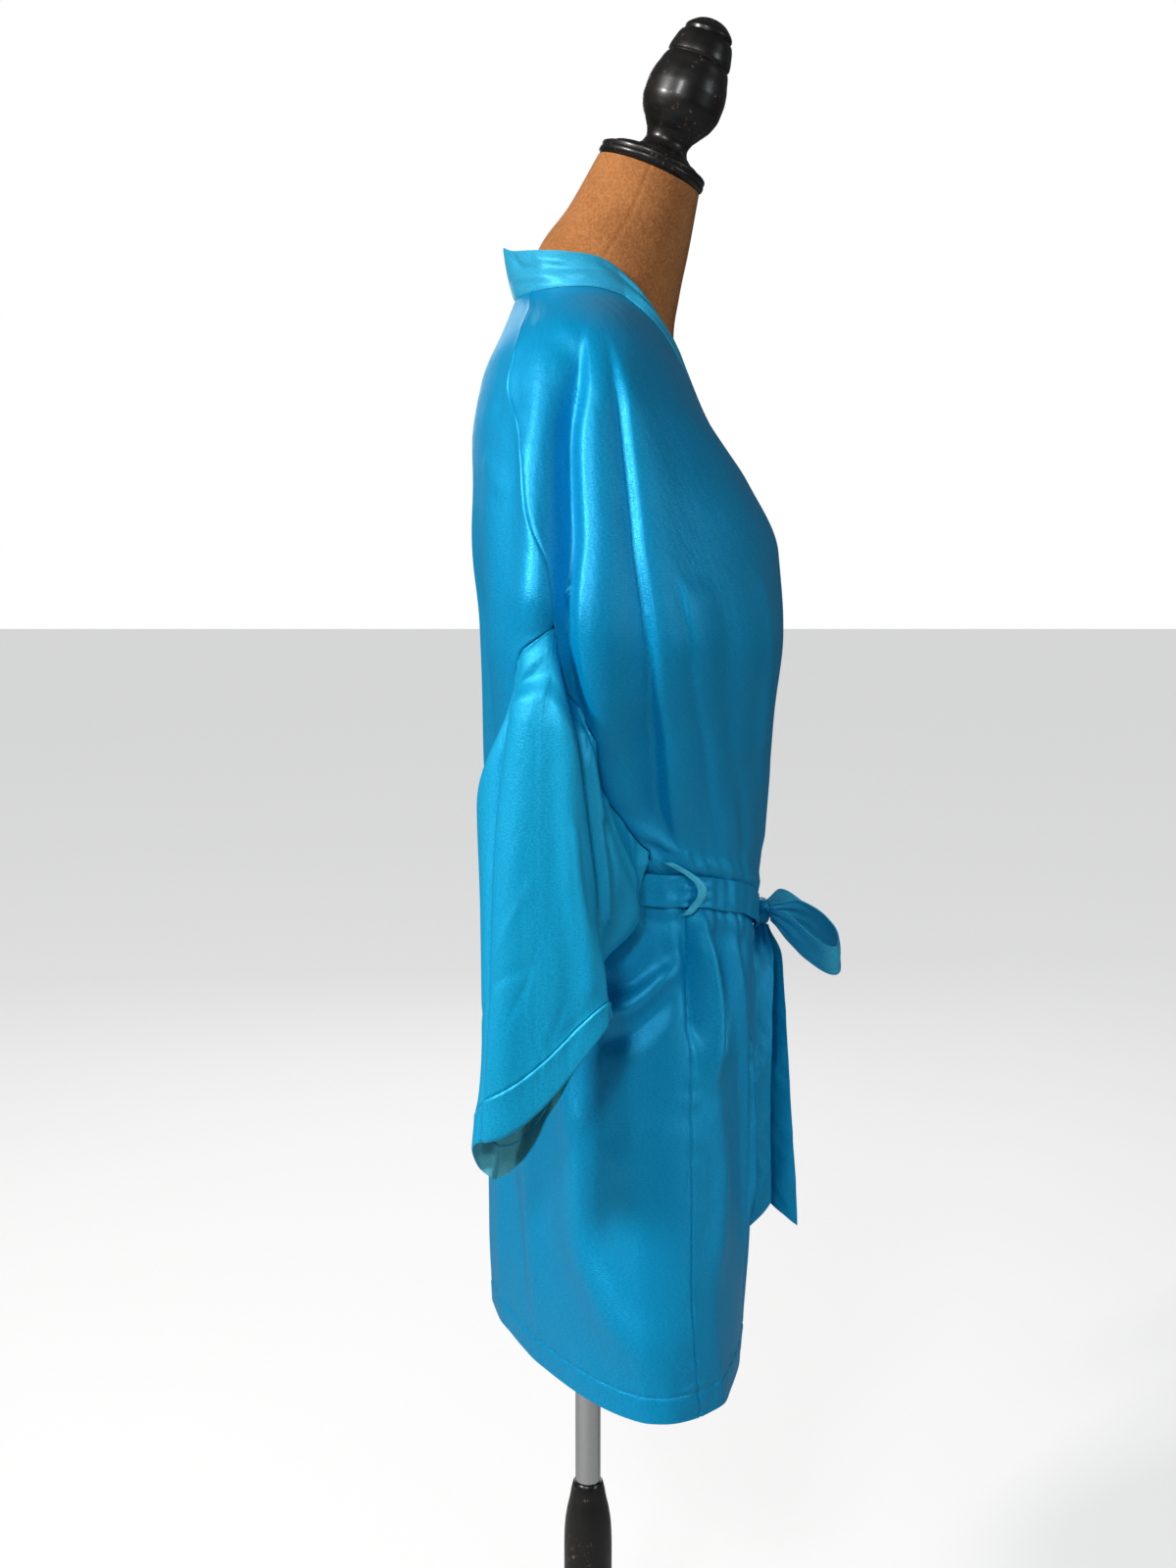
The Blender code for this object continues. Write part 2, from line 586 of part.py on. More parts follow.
def sleeve_grid(side, downs):
    """Points of a sleeve's outer face: a row for each share of its length, a column for each turn."""
    armhole, turn = armhole_ring(side)
    wave = np.radians(turn)[:, None]
    mirror = np.array([side, 1.0, 1.0])
    rings, knots = [armhole], [0.0]
    for down, outer, front, inner, back in SLEEVE_RINGS:
        outer, front, inner, back = (np.array(p) * mirror for p in (outer, front, inner, back))
        middle = (outer + front + inner + back) / 4
        across, along = (outer - inner) / 2, (front - back) / 2
        pinch = (outer + inner - front - back) / 4
        oval = across * np.cos(wave) + along * np.sin(wave) + pinch * np.cos(2 * wave)
        rings.append(middle + oval)
        knots.append(down)
    points = through(knots, np.stack(rings), downs)
    tuck = np.exp(-(((turn - SLEEVE_TUCK_TURN) / SLEEVE_TUCK_SPREAD) ** 2))
    points[..., 2] += SLEEVE_TUCK * tuck * ease(0.6, 1.0, downs)[:, None]
    around = np.roll(points, -1, axis=1) - np.roll(points, 1, axis=1)
    normal = unit(np.cross(np.gradient(points, axis=0), around)) * side
    stand = np.zeros(points.shape[:2])
    for top, top_turn, foot, foot_turn, rise, spread in SLEEVE_FOLDS:
        along = (downs[:, None] - top) / (foot - top)
        middle = top_turn + (foot_turn - top_turn) * along
        apart = angle_apart(turn[None, :], middle) / spread
        fade = ease(-0.05, 0.3, along) * (1 - ease(0.8, 1.05, along))
        stand += rise * np.exp(-(apart**2)) * fade
    stand *= ease(0.0, 0.08, downs)[:, None]
    clear = SLEEVE_CLEAR * ease(0.0, 0.06, downs)[:, None]
    return clear_of_body(points + normal * stand[..., None], clear)


def sleeve_and_cuff(side, label, material):
    """A sleeve, and the band at its end, apart by the seam's gap all round."""
    near = 0.025
    sleeve = sleeve_grid(side, np.array([*SLEEVE_ROWS, CUFF_START - near, CUFF_START]))
    cuff = sleeve_grid(side, np.array([CUFF_START, CUFF_START + near, 0.95, 1.0]))
    around = unit(np.roll(sleeve[-1], -1, axis=0) - np.roll(sleeve[-1], 1, axis=0))
    along = unit(sleeve[-1] - sleeve[-2])
    slant = np.sum(around * along, axis=-1, keepdims=True)
    sleeve[-1] -= along * CUFF_GAP / np.sqrt(1 - slant**2)
    sheet(f"sleeve_{label}", sleeve, material, tube=True, flip=side > 0)
    sheet(f"cuff_{label}", cuff, material, tube=True, flip=side > 0)


def belt_outer(angle):
    """The plan of the belt's outer face: it lies on the proudest cloth under it."""
    middle = belt_middle(angle)
    lift = LAP_LIFT * ease(62.0, 48.0, np.abs(angle_apart(angle, 0.0)))
    proud = np.zeros(np.shape(angle))
    centre_y = rows_at(ROBE_RINGS, middle)[..., 2]
    for share in np.linspace(-0.5, 0.5, 5):
        cloth = robe(angle, middle + share * BELT_WIDTH, lift)
        proud = np.maximum(proud, np.hypot(cloth[..., 0], cloth[..., 1] - centre_y))
    reach = proud + BELT_CLEAR + BELT_WALL
    turn = np.radians(angle)
    return np.stack([-reach * np.sin(turn), centre_y - reach * np.cos(turn), middle], axis=-1)


def belt_waist(name, material):
    angle = np.linspace(BELT_END_ANGLE, 360 - BELT_END_ANGLE, BELT_STATIONS)
    outer = belt_outer(angle)
    half = np.array([0, 0, BELT_WIDTH / 2])
    lines = [outer + half, outer, outer - half]
    return sheet(name, np.stack(lines, axis=1), material, BELT_WALL, flip=True)


def carrier(name, side, material):
    """A thin satin loop from the side seam over the belt, drooping to the front."""
    share = np.linspace(0, 1, 11)
    height = CARRIER_TOP + (CARRIER_FOOT - CARRIER_TOP) * share
    bow = np.sin(np.pi * share)
    angle = CARRIER_ANGLE - CARRIER_DROOP * bow
    cloth = robe(side * angle, height, 0.0)
    centre_y = rows_at(ROBE_RINGS, height)[..., 2]
    near = np.hypot(cloth[:, 0], cloth[:, 1] - centre_y) + CARRIER_OFF_CLOTH + BELT_WALL
    belt = belt_outer(side * angle)
    far = np.hypot(belt[:, 0], belt[:, 1] - centre_y) + CARRIER_CLEAR
    reach = near + np.maximum(far - near, 0.0) * bow**0.35
    lines = []
    for edge in (-0.5, 0.5):
        turn = side * (np.radians(angle) + edge * CARRIER_WIDTH / reach)
        plan = (-reach * np.sin(turn), centre_y - reach * np.cos(turn), height)
        lines.append(np.stack(plan, axis=-1))
    return sheet(name, np.stack(lines, axis=1), material, BELT_WALL, flip=side < 0)


def ribbon(name, middle, across, material):
    """A strip of belt along a line of middles, with a vector across it at each."""
    lines = [middle + across * share for share in (-0.5, 0.0, 0.5)]
    return sheet(name, np.stack(lines, axis=1), material, BELT_WALL)


def bow_loop(name, side, material):
    """One loop of the bow: out from the knot, round its end and back, hanging under its weight."""
    share = np.linspace(0.0, 1.0, 19)
    reach = (1 - np.cos(2 * np.pi * share)) / 2
    apart = np.sin(2 * np.pi * share) * np.sqrt(reach) + (0.5 - share) * BOW_LAYERS_APART
    out = unit(np.array(BOW_DIRECTION) * (side, 1, 1))
    sideways = unit(np.cross(out, (0, 0, 1)))
    start = np.array(KNOT_MIDDLE) - (side * BOW_START * KNOT_HALF[0], KNOT_HALF[1] + BOW_CLEAR, 0)
    middle = start + out * (BOW_LENGTH * reach)[:, None] + sideways * (BOW_OPEN * apart)[:, None]
    middle[:, 2] -= BOW_DROOP * reach**1.6 + BOW_STEP * apart
    lean = unit(np.array(BOW_LEAN) * (side, 1, 1)) * BOW_WIDTH
    narrow = KNOT_SQUEEZE + (1 - KNOT_SQUEEZE) * ease(0.0, 0.4, reach)
    return ribbon(name, middle, lean * narrow[:, None], material)


def belt_tail(name, stations, slant, material):
    """A free end of the belt: slant is how much higher the front corner of its foot is."""
    rows = np.array(stations)
    middle, turn = rows[:, :3], np.radians(rows[:, 3])
    knots = np.linspace(0, 1, len(rows))
    at = np.linspace(0, 1, TAIL_ROWS)
    middle = through(knots, middle, at)
    turn = through(knots, turn[:, None], at)[:, 0]
    width = BELT_WIDTH * (KNOT_SQUEEZE + (1 - KNOT_SQUEEZE) * ease(0.0, 0.25, at))
    across = np.stack([np.sin(turn), -np.cos(turn), 0 * turn], axis=-1) * width[:, None]
    across[-1, 2] = slant
    return ribbon(name, middle, across, material)


def knot(name, material):
    bpy.ops.mesh.primitive_cube_add(size=1.0, location=KNOT_MIDDLE)
    piece = bpy.context.object
    mesh = piece.data
    mesh.transform(Matrix.Diagonal((*(2 * half for half in KNOT_HALF), 1)))
    bpy.context.collection.objects.unlink(piece)
    piece.name = name
    mesh.materials.append(material)
    PARTS.objects.link(piece)
    bevel = piece.modifiers.new("Round", "BEVEL")
    bevel.width = KNOT_ROUND
    bevel.segments = 3
    return piece


def torso(name, material):
    """The form: the robe hangs on its shoulders, and its neck leans forward to the cap."""
    angle = np.linspace(0, 360, TORSO_COLUMNS, endpoint=False)
    heights = np.array([row[0] for row in TORSO_RINGS])
    between = (heights[:-1] + heights[1:]) / 2
    height = np.sort(np.concatenate([heights, between[3:-1]]))[::-1]
    dip = 1 + ease(1.39, 1.352, height)[:, None]
    points = ring_points(TORSO_RINGS, angle[None, :], height[:, None], dip)
    rows, columns = points.shape[:2]
    faces = [tuple(range(columns)), tuple(reversed(range((rows - 1) * columns, rows * columns)))]
    for j in range(rows - 1):
        for i in range(columns):
            k = (i + 1) % columns
            faces.append((j * columns + i, (j + 1) * columns + i, (j + 1) * columns + k, j * columns + k))
    mesh = bpy.data.meshes.new(name)
    mesh.from_pydata(points.reshape(-1, 3).tolist(), [], faces)
    mesh.validate()
    shell = bmesh.new()
    shell.from_mesh(mesh)
    bmesh.ops.recalc_face_normals(shell, faces=shell.faces)
    shell.to_mesh(mesh)
    shell.free()
    return place(name, mesh, material)


def turned(name, profile, material, segments=24):
    """A turned piece from its outline, listed from top to bottom as radius and height."""
    mesh = bpy.data.meshes.new(name)
    points = [(radius, 0, height) for radius, height in profile]
    mesh.from_pydata(points, [(i, i + 1) for i in range(len(points) - 1)], [])
    piece = bpy.data.objects.new(name, mesh)
    mesh.materials.append(material)
    PARTS.objects.link(piece)
    screw = piece.modifiers.new("Turn", "SCREW")
    screw.steps = screw.render_steps = segments
    screw.use_merge_vertices = True
    screw.merge_threshold = 0.0001
    screw.use_smooth_shade = True
    return piece


def outline(table, steps):
    """A smooth outline through a short table of (height, radius), from top to bottom."""
    rows = np.array(sorted(table), float)
    heights = np.linspace(rows[0, 0], rows[-1, 0], steps)
    radii = through(rows[:, 0], rows[:, 1:], heights)[:, 0]
    return [(float(r), float(h)) for h, r in zip(heights, radii)][::-1]


def neck_cap(material):
    """The turned flange on the neck, and the finial on it, both tilted with the neck."""
    lean = Matrix.Rotation(CAP_TILT, 4, "X")
    foot = Matrix.Translation((0, CAP_FOOT_Y, CAP_FOOT_Z)) @ lean
    flange = turned("neck_cap", [(0, FLANGE_TOP), *FLANGE_OUTLINE, (0, STAND_GAP)], material)
    flange.matrix_world = foot
    urn = outline(FINIAL_OUTLINE, 24)
    profile = [(0.0, urn[0][1]), *urn[1:], (0.0, urn[-1][1])]
    finial = turned("finial", profile, material)
    finial.matrix_world = foot @ Matrix.Translation((0, -FINIAL_SHIFT, FLANGE_TOP + STAND_GAP))


def stand(wood, steel):
    """The pole under the form: a steel rod in a turned post on a round base."""
    foot, top = POST_TOP + STAND_GAP, FORM_FLOOR - STAND_GAP
    turned("rod", [(0, top), (ROD_RADIUS, top), (ROD_RADIUS, foot), (0, foot)], steel, 24)
    seat = BASE_HEIGHT + STAND_GAP
    post = [(0.0, POST_TOP), *POST_OUTLINE, (POST_RADIUS, seat), (0.0, seat)]
    turned("post", post, wood)
    turned("base", [(0, BASE_HEIGHT), *BASE_OUTLINE, (0, 0)], wood, 40)


def build():
    cloth = finish("turquoise_satin", (0.0, 0.29, 0.62), 0.32)
    cover = finish("brown_suede_cover", (0.27, 0.10, 0.035), 0.9)
    wood = finish("black_turned_wood", (0.012, 0.010, 0.009), 0.35)
    steel = finish("steel_rod", (0.60, 0.60, 0.61), 0.3, 1.0)
    back_panel("back", cloth)
    front_panel("front_right", 1, cloth)
    front_panel("front_left", -1, cloth)
    collar_half("collar_right", 1, cloth)
    collar_half("collar_left", -1, cloth)
    sleeve_and_cuff(1, "right", cloth)
    sleeve_and_cuff(-1, "left", cloth)
    belt_waist("belt_waist", cloth)
    carrier("carrier_right", 1, cloth)
    carrier("carrier_left", -1, cloth)
    knot("belt_knot", cloth)
    bow_loop("bow_loop_right", 1, cloth)
    bow_loop("bow_loop_left", -1, cloth)
    belt_tail("belt_tail_right", TAIL_RIGHT, TAIL_SLANT, cloth)
    belt_tail("belt_tail_left", TAIL_LEFT, -TAIL_SLANT, cloth)
    torso("torso", cover)
    neck_cap(wood)
    stand(wood, steel)


for old in list(bpy.data.objects):
    bpy.data.objects.remove(old, do_unlink=True)
PARTS = bpy.data.collections.new("kimono_robe_on_dress_form")
bpy.context.scene.collection.children.link(PARTS)
build()
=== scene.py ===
# %% [markdown]
# # A satin robe on its dress form
#
# The real thing is a short kimono robe of turquoise satin, belted on a limbless dress form with a
# turned wooden cap and stand. Its looks are all cloth: long soft folds that hang from the shoulder,
# gathers drawn up by the belt, pulls that run from the belt loop, wide sleeves that fold on
# themselves. The plan is to lay one fine sheet for each cut piece on the form that the solid model
# gives, to raise its creases one by one, and to let a satin finish and a lamp from behind show them.

# %% Load the frame
import math
from contextlib import contextmanager

import bpy
import numpy as np
from mathutils import Matrix, Vector


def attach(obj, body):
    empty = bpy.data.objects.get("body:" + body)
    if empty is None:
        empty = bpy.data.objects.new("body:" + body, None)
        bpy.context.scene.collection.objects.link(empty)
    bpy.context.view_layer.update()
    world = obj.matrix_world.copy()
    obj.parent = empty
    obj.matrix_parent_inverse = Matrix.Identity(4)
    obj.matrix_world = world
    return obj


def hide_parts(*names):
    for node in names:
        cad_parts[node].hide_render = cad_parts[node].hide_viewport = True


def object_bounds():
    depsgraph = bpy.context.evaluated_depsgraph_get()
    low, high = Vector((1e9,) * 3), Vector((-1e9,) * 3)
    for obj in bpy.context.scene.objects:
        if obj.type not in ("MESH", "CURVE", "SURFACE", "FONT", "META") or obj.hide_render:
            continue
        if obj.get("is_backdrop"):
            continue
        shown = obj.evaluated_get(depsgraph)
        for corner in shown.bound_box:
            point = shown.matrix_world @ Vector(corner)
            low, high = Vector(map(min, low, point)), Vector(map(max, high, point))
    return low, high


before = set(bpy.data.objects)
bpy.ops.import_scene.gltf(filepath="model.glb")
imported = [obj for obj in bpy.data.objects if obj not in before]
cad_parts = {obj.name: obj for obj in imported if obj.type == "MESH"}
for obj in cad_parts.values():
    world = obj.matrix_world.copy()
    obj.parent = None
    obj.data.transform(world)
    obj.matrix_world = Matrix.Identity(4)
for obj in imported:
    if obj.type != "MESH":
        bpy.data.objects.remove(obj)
cad_low, cad_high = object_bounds()
SIDES = (("right", 1), ("left", -1))
print("nodes", len(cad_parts), "height", round(cad_high.z - cad_low.z, 4))

# %% [markdown]
# ## Camera, floor and light
#
# The photograph looks straight at the robe's right side from about the height of the chest, tipped a
# little down, with a lens of medium length. A camera is a place, a turn and a focal length, so those
# three are set until the robe fills the frame as it does there. The light is a strong lamp
# behind and above the robe, which skims the folds. A second one shines from the camera's side, two
# weaker ones keep the front and the far side from going dark, and a narrow one picks out the pleats
# of the skirt. The sky is white to the camera and dim to the cloth.

# %% Camera
CAMERA_AWAY = 1.40
CAMERA_HEIGHT = 1.168
CAMERA_PITCH = math.radians(8.29)
CAMERA_LENS = 39.375
CAMERA_CLIP = 0.05

camera = bpy.data.objects.new("camera", bpy.data.cameras.new("camera"))
bpy.context.scene.collection.objects.link(camera)
camera.location = (-CAMERA_AWAY, 0, CAMERA_HEIGHT)
camera.rotation_euler = (math.pi / 2 - CAMERA_PITCH, 0, -math.pi / 2)
camera.data.lens = CAMERA_LENS
camera.data.clip_start = CAMERA_CLIP
bpy.context.scene.camera = camera
bpy.context.scene.view_settings.view_transform = "Standard"
print("camera", CAMERA_AWAY, "m away and", CAMERA_HEIGHT, "m up")

# %% Lamps
# Columns: name, place, aim, size, power in watts, colour, spread in degrees
LAMPS = (
    ("key", (-1.50, 2.25, 2.55), (0, 0, 1.05), 0.5, 102, (1.0, 0.98, 0.94), 180),
    ("side", (-2.50, 0.55, 2.35), (0, 0, 0.90), 0.4, 28, (0.96, 0.99, 1.0), 180),
    ("fill", (-1.2, -2.7, 1.9), (0, 0, 0.95), 0.9, 12, (0.92, 0.98, 1.0), 180),
    ("far_side", (2.4, 0.2, 1.9), (0, 0, 0.95), 1.2, 20, (1.0, 1.0, 1.0), 180),
    ("skirt", (-1.3, -1.85, 0.95), (0, -0.08, 0.66), 0.3, 0.22, (0.95, 0.99, 1.0), 30),
)


def lamp(name, place, aim, size, power, colour, spread):
    """A square soft lamp that shines from a place to an aim. A small spread keeps its light there."""
    light = bpy.data.lights.new(name, "AREA")
    light.size = size
    light.energy = power
    light.color = colour
    light.spread = math.radians(spread)
    holder = bpy.data.objects.new(name, light)
    bpy.context.scene.collection.objects.link(holder)
    holder.location = place
    holder.rotation_euler = (Vector(aim) - Vector(place)).to_track_quat("-Z", "Y").to_euler()


for row in LAMPS:
    lamp(*row)
print("lamps", len(LAMPS))


# %% Nodes in one call
def set_sockets(owner, node, sockets):
    """Each socket is linked, where its value is another node's output, or else set to the value."""
    for name, value in sockets.items():
        if isinstance(value, bpy.types.NodeSocket):
            owner.node_tree.links.new(value, node.inputs[name])
        else:
            node.inputs[name].default_value = value


def add_node(owner, kind, sockets=None, **settings):
    """A new node of a material or a world, with its settings set and its sockets linked or set."""
    made = owner.node_tree.nodes.new(kind)
    for name, value in settings.items():
        setattr(made, name, value)
    set_sockets(owner, made, sockets or {})
    return made


# %% Sky
sky = bpy.data.worlds.new("studio")
bpy.context.scene.world = sky
sky.use_nodes = True
dim = sky.node_tree.nodes["Background"]
set_sockets(sky, dim, {"Color": (0.93, 0.97, 1.0, 1), "Strength": 0.11})
white = add_node(sky, "ShaderNodeBackground", {"Color": (1, 1, 1, 1), "Strength": 1.0})
seen = add_node(sky, "ShaderNodeLightPath").outputs["Is Camera Ray"]
both = {"Fac": seen, 1: dim.outputs["Background"], 2: white.outputs["Background"]}
choose = add_node(sky, "ShaderNodeMixShader", both)
set_sockets(sky, sky.node_tree.nodes["World Output"], {"Surface": choose.outputs["Shader"]})


# %% [markdown]
# ## Finishes
#
# Satin is a weave of long floating threads, so it throws back a broad, coloured highlight that is
# drawn out across the threads. A Principled shader gives that with some metal in it, a tinted
# specular, a middling roughness and some anisotropy. Over that lie four reliefs, each a bump: fine
# bands along the threads, slubs, and the ripples and wider crumple that handling leaves. The wrong
# side is the same cloth, duller and greyer. The form's cover is napped suede, the wood is black gloss
# rubbed through in specks, and the rod is polished steel.
# The sleeves, the collar, the bow and the belt loops wear lighter copies of the satin: painted light.

# %% Patterns from nodes
def new_finish(name):
    """A material with a Principled shader, and that shader."""
    material = bpy.data.materials.new(name)
    material.use_nodes = True
    return material, material.node_tree.nodes["Principled BSDF"]


def own_place(material):
    """Where a point is on its own object, in metres."""
    return add_node(material, "ShaderNodeTexCoord").outputs["Object"]


def noise(material, where, scale, detail=2.0, roughness=0.5):
    sockets = {"Vector": where, "Scale": scale, "Detail": detail, "Roughness": roughness}
    return add_node(material, "ShaderNodeTexNoise", sockets).outputs["Fac"]


def stretched(material, where, scale):
    """Coordinates scaled by a different amount along each axis."""
    return add_node(material, "ShaderNodeMapping", {"Vector": where, "Scale": scale}).outputs["Vector"]


def joined(material, operation, first, second):
    """Two values, added or multiplied."""
    sockets = {0: first, 1: second}
    return add_node(material, "ShaderNodeMath", sockets, operation=operation).outputs["Value"]


def colour_mix(material, share, first, second):
    """The first colour where the share is 0, the second where it is 1."""
    mixed = add_node(material, "ShaderNodeMix", {"Factor": share}, data_type="RGBA")
    for socket, value in zip([s for s in mixed.inputs if s.type == "RGBA"], (first, second)):
        if isinstance(value, tuple):
            socket.default_value = (*value, 1)
        else:
            material.node_tree.links.new(value, socket)
    return next(s for s in mixed.outputs if s.type == "RGBA")


def between(material, value, low, high, to_low=0.0, to_high=1.0):
    """A value's range stretched to another range, and held inside it."""
    sockets = {"Value": value, "From Min": low, "From Max": high, "To Min": to_low, "To Max": to_high}
    return add_node(material, "ShaderNodeMapRange", sockets).outputs["Result"]


def bump(material, height, distance, strength=1.0, below=None):
    sockets = {"Height": height, "Distance": distance, "Strength": strength}
    if below is not None:
        sockets["Normal"] = below
    return add_node(material, "ShaderNodeBump", sockets).outputs["Normal"]


# %% Satin
# A wave texture of scale 1 draws a band every 0.314 m, so this is one in 2.5 mm.
BAND_SCALE = 125.0
DEEPEST = 0.72


def satin(name, bright, deep, metallic, roughness, sheen):
    """Satin, from the cloth's own map in metres: u runs across the threads and v along them."""
    material, shader = new_finish(name)
    cloth = add_node(material, "ShaderNodeUVMap", uv_map="UVMap").outputs["UV"]
    patches = noise(material, stretched(material, cloth, (9, 5, 1)), 1.0, 3.0)
    slubs = noise(material, stretched(material, cloth, (420, 1300, 1)), 1.0, 3.0, 0.6)
    crumple = noise(material, stretched(material, cloth, (34, 22, 1)), 1.0, 3.0, 0.55)
    ripples = noise(material, stretched(material, cloth, (150, 70, 1)), 1.0, 2.0, 0.5)
    bands = {"Vector": cloth, "Scale": BAND_SCALE, "Distortion": 0.4, "Detail": 1.0}
    threads = add_node(material, "ShaderNodeTexWave", bands, wave_type="BANDS").outputs["Fac"]
    deepest = tuple(DEEPEST * channel for channel in deep)
    colour = colour_mix(material, between(material, patches, 0.3, 0.7), bright, deep)
    colour = colour_mix(material, between(material, slubs, 0.62, 0.38, 0.0, 0.8), colour, deepest)
    relief = bump(material, crumple, 0.0016, 0.55)
    relief = bump(material, ripples, 0.0006, 0.5, relief)
    relief = bump(material, slubs, 0.00040, 0.7, relief)
    relief = bump(material, threads, 0.00003, 0.4, relief)
    tangent = add_node(material, "ShaderNodeTangent", direction_type="UV_MAP", uv_map="UVMap")
    set_sockets(material, shader, {
        "Base Color": colour,
        "Normal": relief,
        "Tangent": tangent.outputs["Tangent"],
        "Metallic": metallic,
        "Roughness": roughness,
        "Specular IOR Level": 0.85,
        "Specular Tint": (0.25, 0.86, 1.0, 1),
        "Anisotropic": 0.5,
        "Sheen Weight": sheen,
        "Sheen Roughness": 0.35,
        "Sheen Tint": (0.55, 0.95, 1.0, 1),
    })
    return material


# After its name, each has a bright and a deep colour, then how metallic, rough and downy it is.
SATIN = satin("satin_face", (0.0, 0.355, 0.69), (0.0, 0.295, 0.61), 0.22, 0.40, 0.0)
# A lighter copy of the same satin for the sleeves and cuffs: painted light, for the light that falls on them.
SLEEVE_SATIN_PAINTED_LIT = satin("satin_sleeve_painted_lit", (0.01, 0.42, 0.74), (0.0, 0.35, 0.66), 0.18, 0.42, 0.0)
# A lighter, greyer copy of the same satin for the collar and the bow's loops: painted light and sheen.
COLLAR_AND_BOW_SATIN_PAINTED_LIT = satin("satin_collar_painted_lit", (0.05, 0.47, 0.74), (0.02, 0.38, 0.65), 0.12, 0.42, 0.0)
# A brighter copy of the same satin for the belt loops: a painted highlight.
LOOP_SATIN_PAINTED_LIT = satin("satin_loop_painted_lit", (0.09, 0.60, 0.84), (0.04, 0.48, 0.74), 0.10, 0.38, 0.0)
WRONG_SIDE = satin("satin_wrong_side", (0.10, 0.42, 0.53), (0.07, 0.35, 0.45), 0.0, 0.6, 0.0)
THREADS = satin("sewing_thread", (0.01, 0.42, 0.78), (0.01, 0.36, 0.70), 0.0, 0.5, 0.1)


# %% Suede
def suede():
    """A cover whose nap is brushed darker and lighter, under a fine fuzz."""
    material, shader = new_finish("suede_nap")
    place = own_place(material)
    brushed = noise(material, place, 16.0, 4.0, 0.6)
    nap = noise(material, place, 420.0, 3.0, 0.65)
    fuzz = noise(material, place, 1500.0, 2.0, 0.6)
    broad_tone = between(material, brushed, 0.35, 0.65, 0.0, 0.45)
    fine_tone = between(material, nap, 0.35, 0.65, 0.0, 0.55)
    tone = joined(material, "ADD", broad_tone, fine_tone)
    set_sockets(material, shader, {
        "Base Color": colour_mix(material, tone, (0.235, 0.080, 0.024), (0.47, 0.19, 0.062)),
        "Normal": bump(material, fuzz, 0.0004, 0.5, bump(material, nap, 0.0009, 0.6)),
        "Roughness": 0.92,
        "Specular IOR Level": 0.15,
        "Sheen Weight": 0.35,
        "Sheen Roughness": 0.5,
        "Sheen Tint": (1.0, 0.62, 0.36, 1),
    })
    return material


# %% Wood and steel
def black_wood():
    """Black gloss over turned wood, with specks rubbed through where the wear is."""
    material, shader = new_finish("black_gloss_wood")
    place = own_place(material)
    specks = noise(material, place, 260.0, 4.0, 0.7)
    rubbed = noise(material, place, 38.0, 3.0, 0.6)
    grain = noise(material, stretched(material, place, (90, 90, 9)), 1.0, 3.0)
    bare = between(material, specks, 0.60, 0.68)
    worn = joined(material, "MULTIPLY", bare, between(material, rubbed, 0.50, 0.62))
    set_sockets(material, shader, {
        "Base Color": colour_mix(material, worn, (0.0048, 0.0040, 0.0038), (0.26, 0.15, 0.08)),
        "Roughness": between(material, rubbed, 0.35, 0.65, 0.30, 0.46),
        "Normal": bump(material, specks, 0.00012, 0.3, bump(material, grain, 0.0003, 0.3)),
        "Coat Weight": 0.20,
        "Coat Roughness": 0.18,
        "Specular IOR Level": 0.4,
    })
    return material


def steel():
    """Polished steel, with the fine rings that polishing it in a lathe leaves."""
    material, shader = new_finish("polished_steel")
    rings = noise(material, stretched(material, own_place(material), (8, 8, 900)), 1.0, 2.0)
    set_sockets(material, shader, {
        "Base Color": colour_mix(material, rings, (0.58, 0.58, 0.59), (0.68, 0.68, 0.69)),
        "Normal": bump(material, rings, 0.00004, 0.5),
        "Metallic": 1.0,
        "Roughness": 0.24,
    })
    return material


# %% Floor paint
def floor_paint():
    """Pale paint that glows a little for the camera alone, so it throws little light on the cloth."""
    material, shader = new_finish("pale_floor")
    cloud = noise(material, own_place(material), 1.5, 2.0)
    set_sockets(material, shader, {
        "Base Color": colour_mix(material, cloud, (0.40, 0.40, 0.40), (0.42, 0.42, 0.42)),
        "Roughness": 0.8,
        "Emission Strength": add_node(material, "ShaderNodeLightPath").outputs["Is Camera Ray"],
        "Emission Color": (0.62, 0.62, 0.62, 1),
    })
    return material


SUEDE, BLACK_WOOD, STEEL = suede(), black_wood(), steel()
print("finishes", len(bpy.data.materials))

# %% The floor
bpy.ops.object.select_all(action="DESELECT")
bpy.ops.mesh.primitive_plane_add(size=40, location=(0, 0, 0))
floor = bpy.context.object
floor.name = "floor"
floor.data.materials.append(floor_paint())
floor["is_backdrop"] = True


# %% [markdown]
# ## The form that the cloth hangs on
#
# The robe's outer face is a stack of rings, each a rounded oval that falls from the side towards
# the front and the back. These are the same few numbers that the solid model is built on, so each
# piece of cloth lies where its solid does. An angle round the body is 0 at the centre front, 90 at
# the wearer's right and 180 at the centre back.

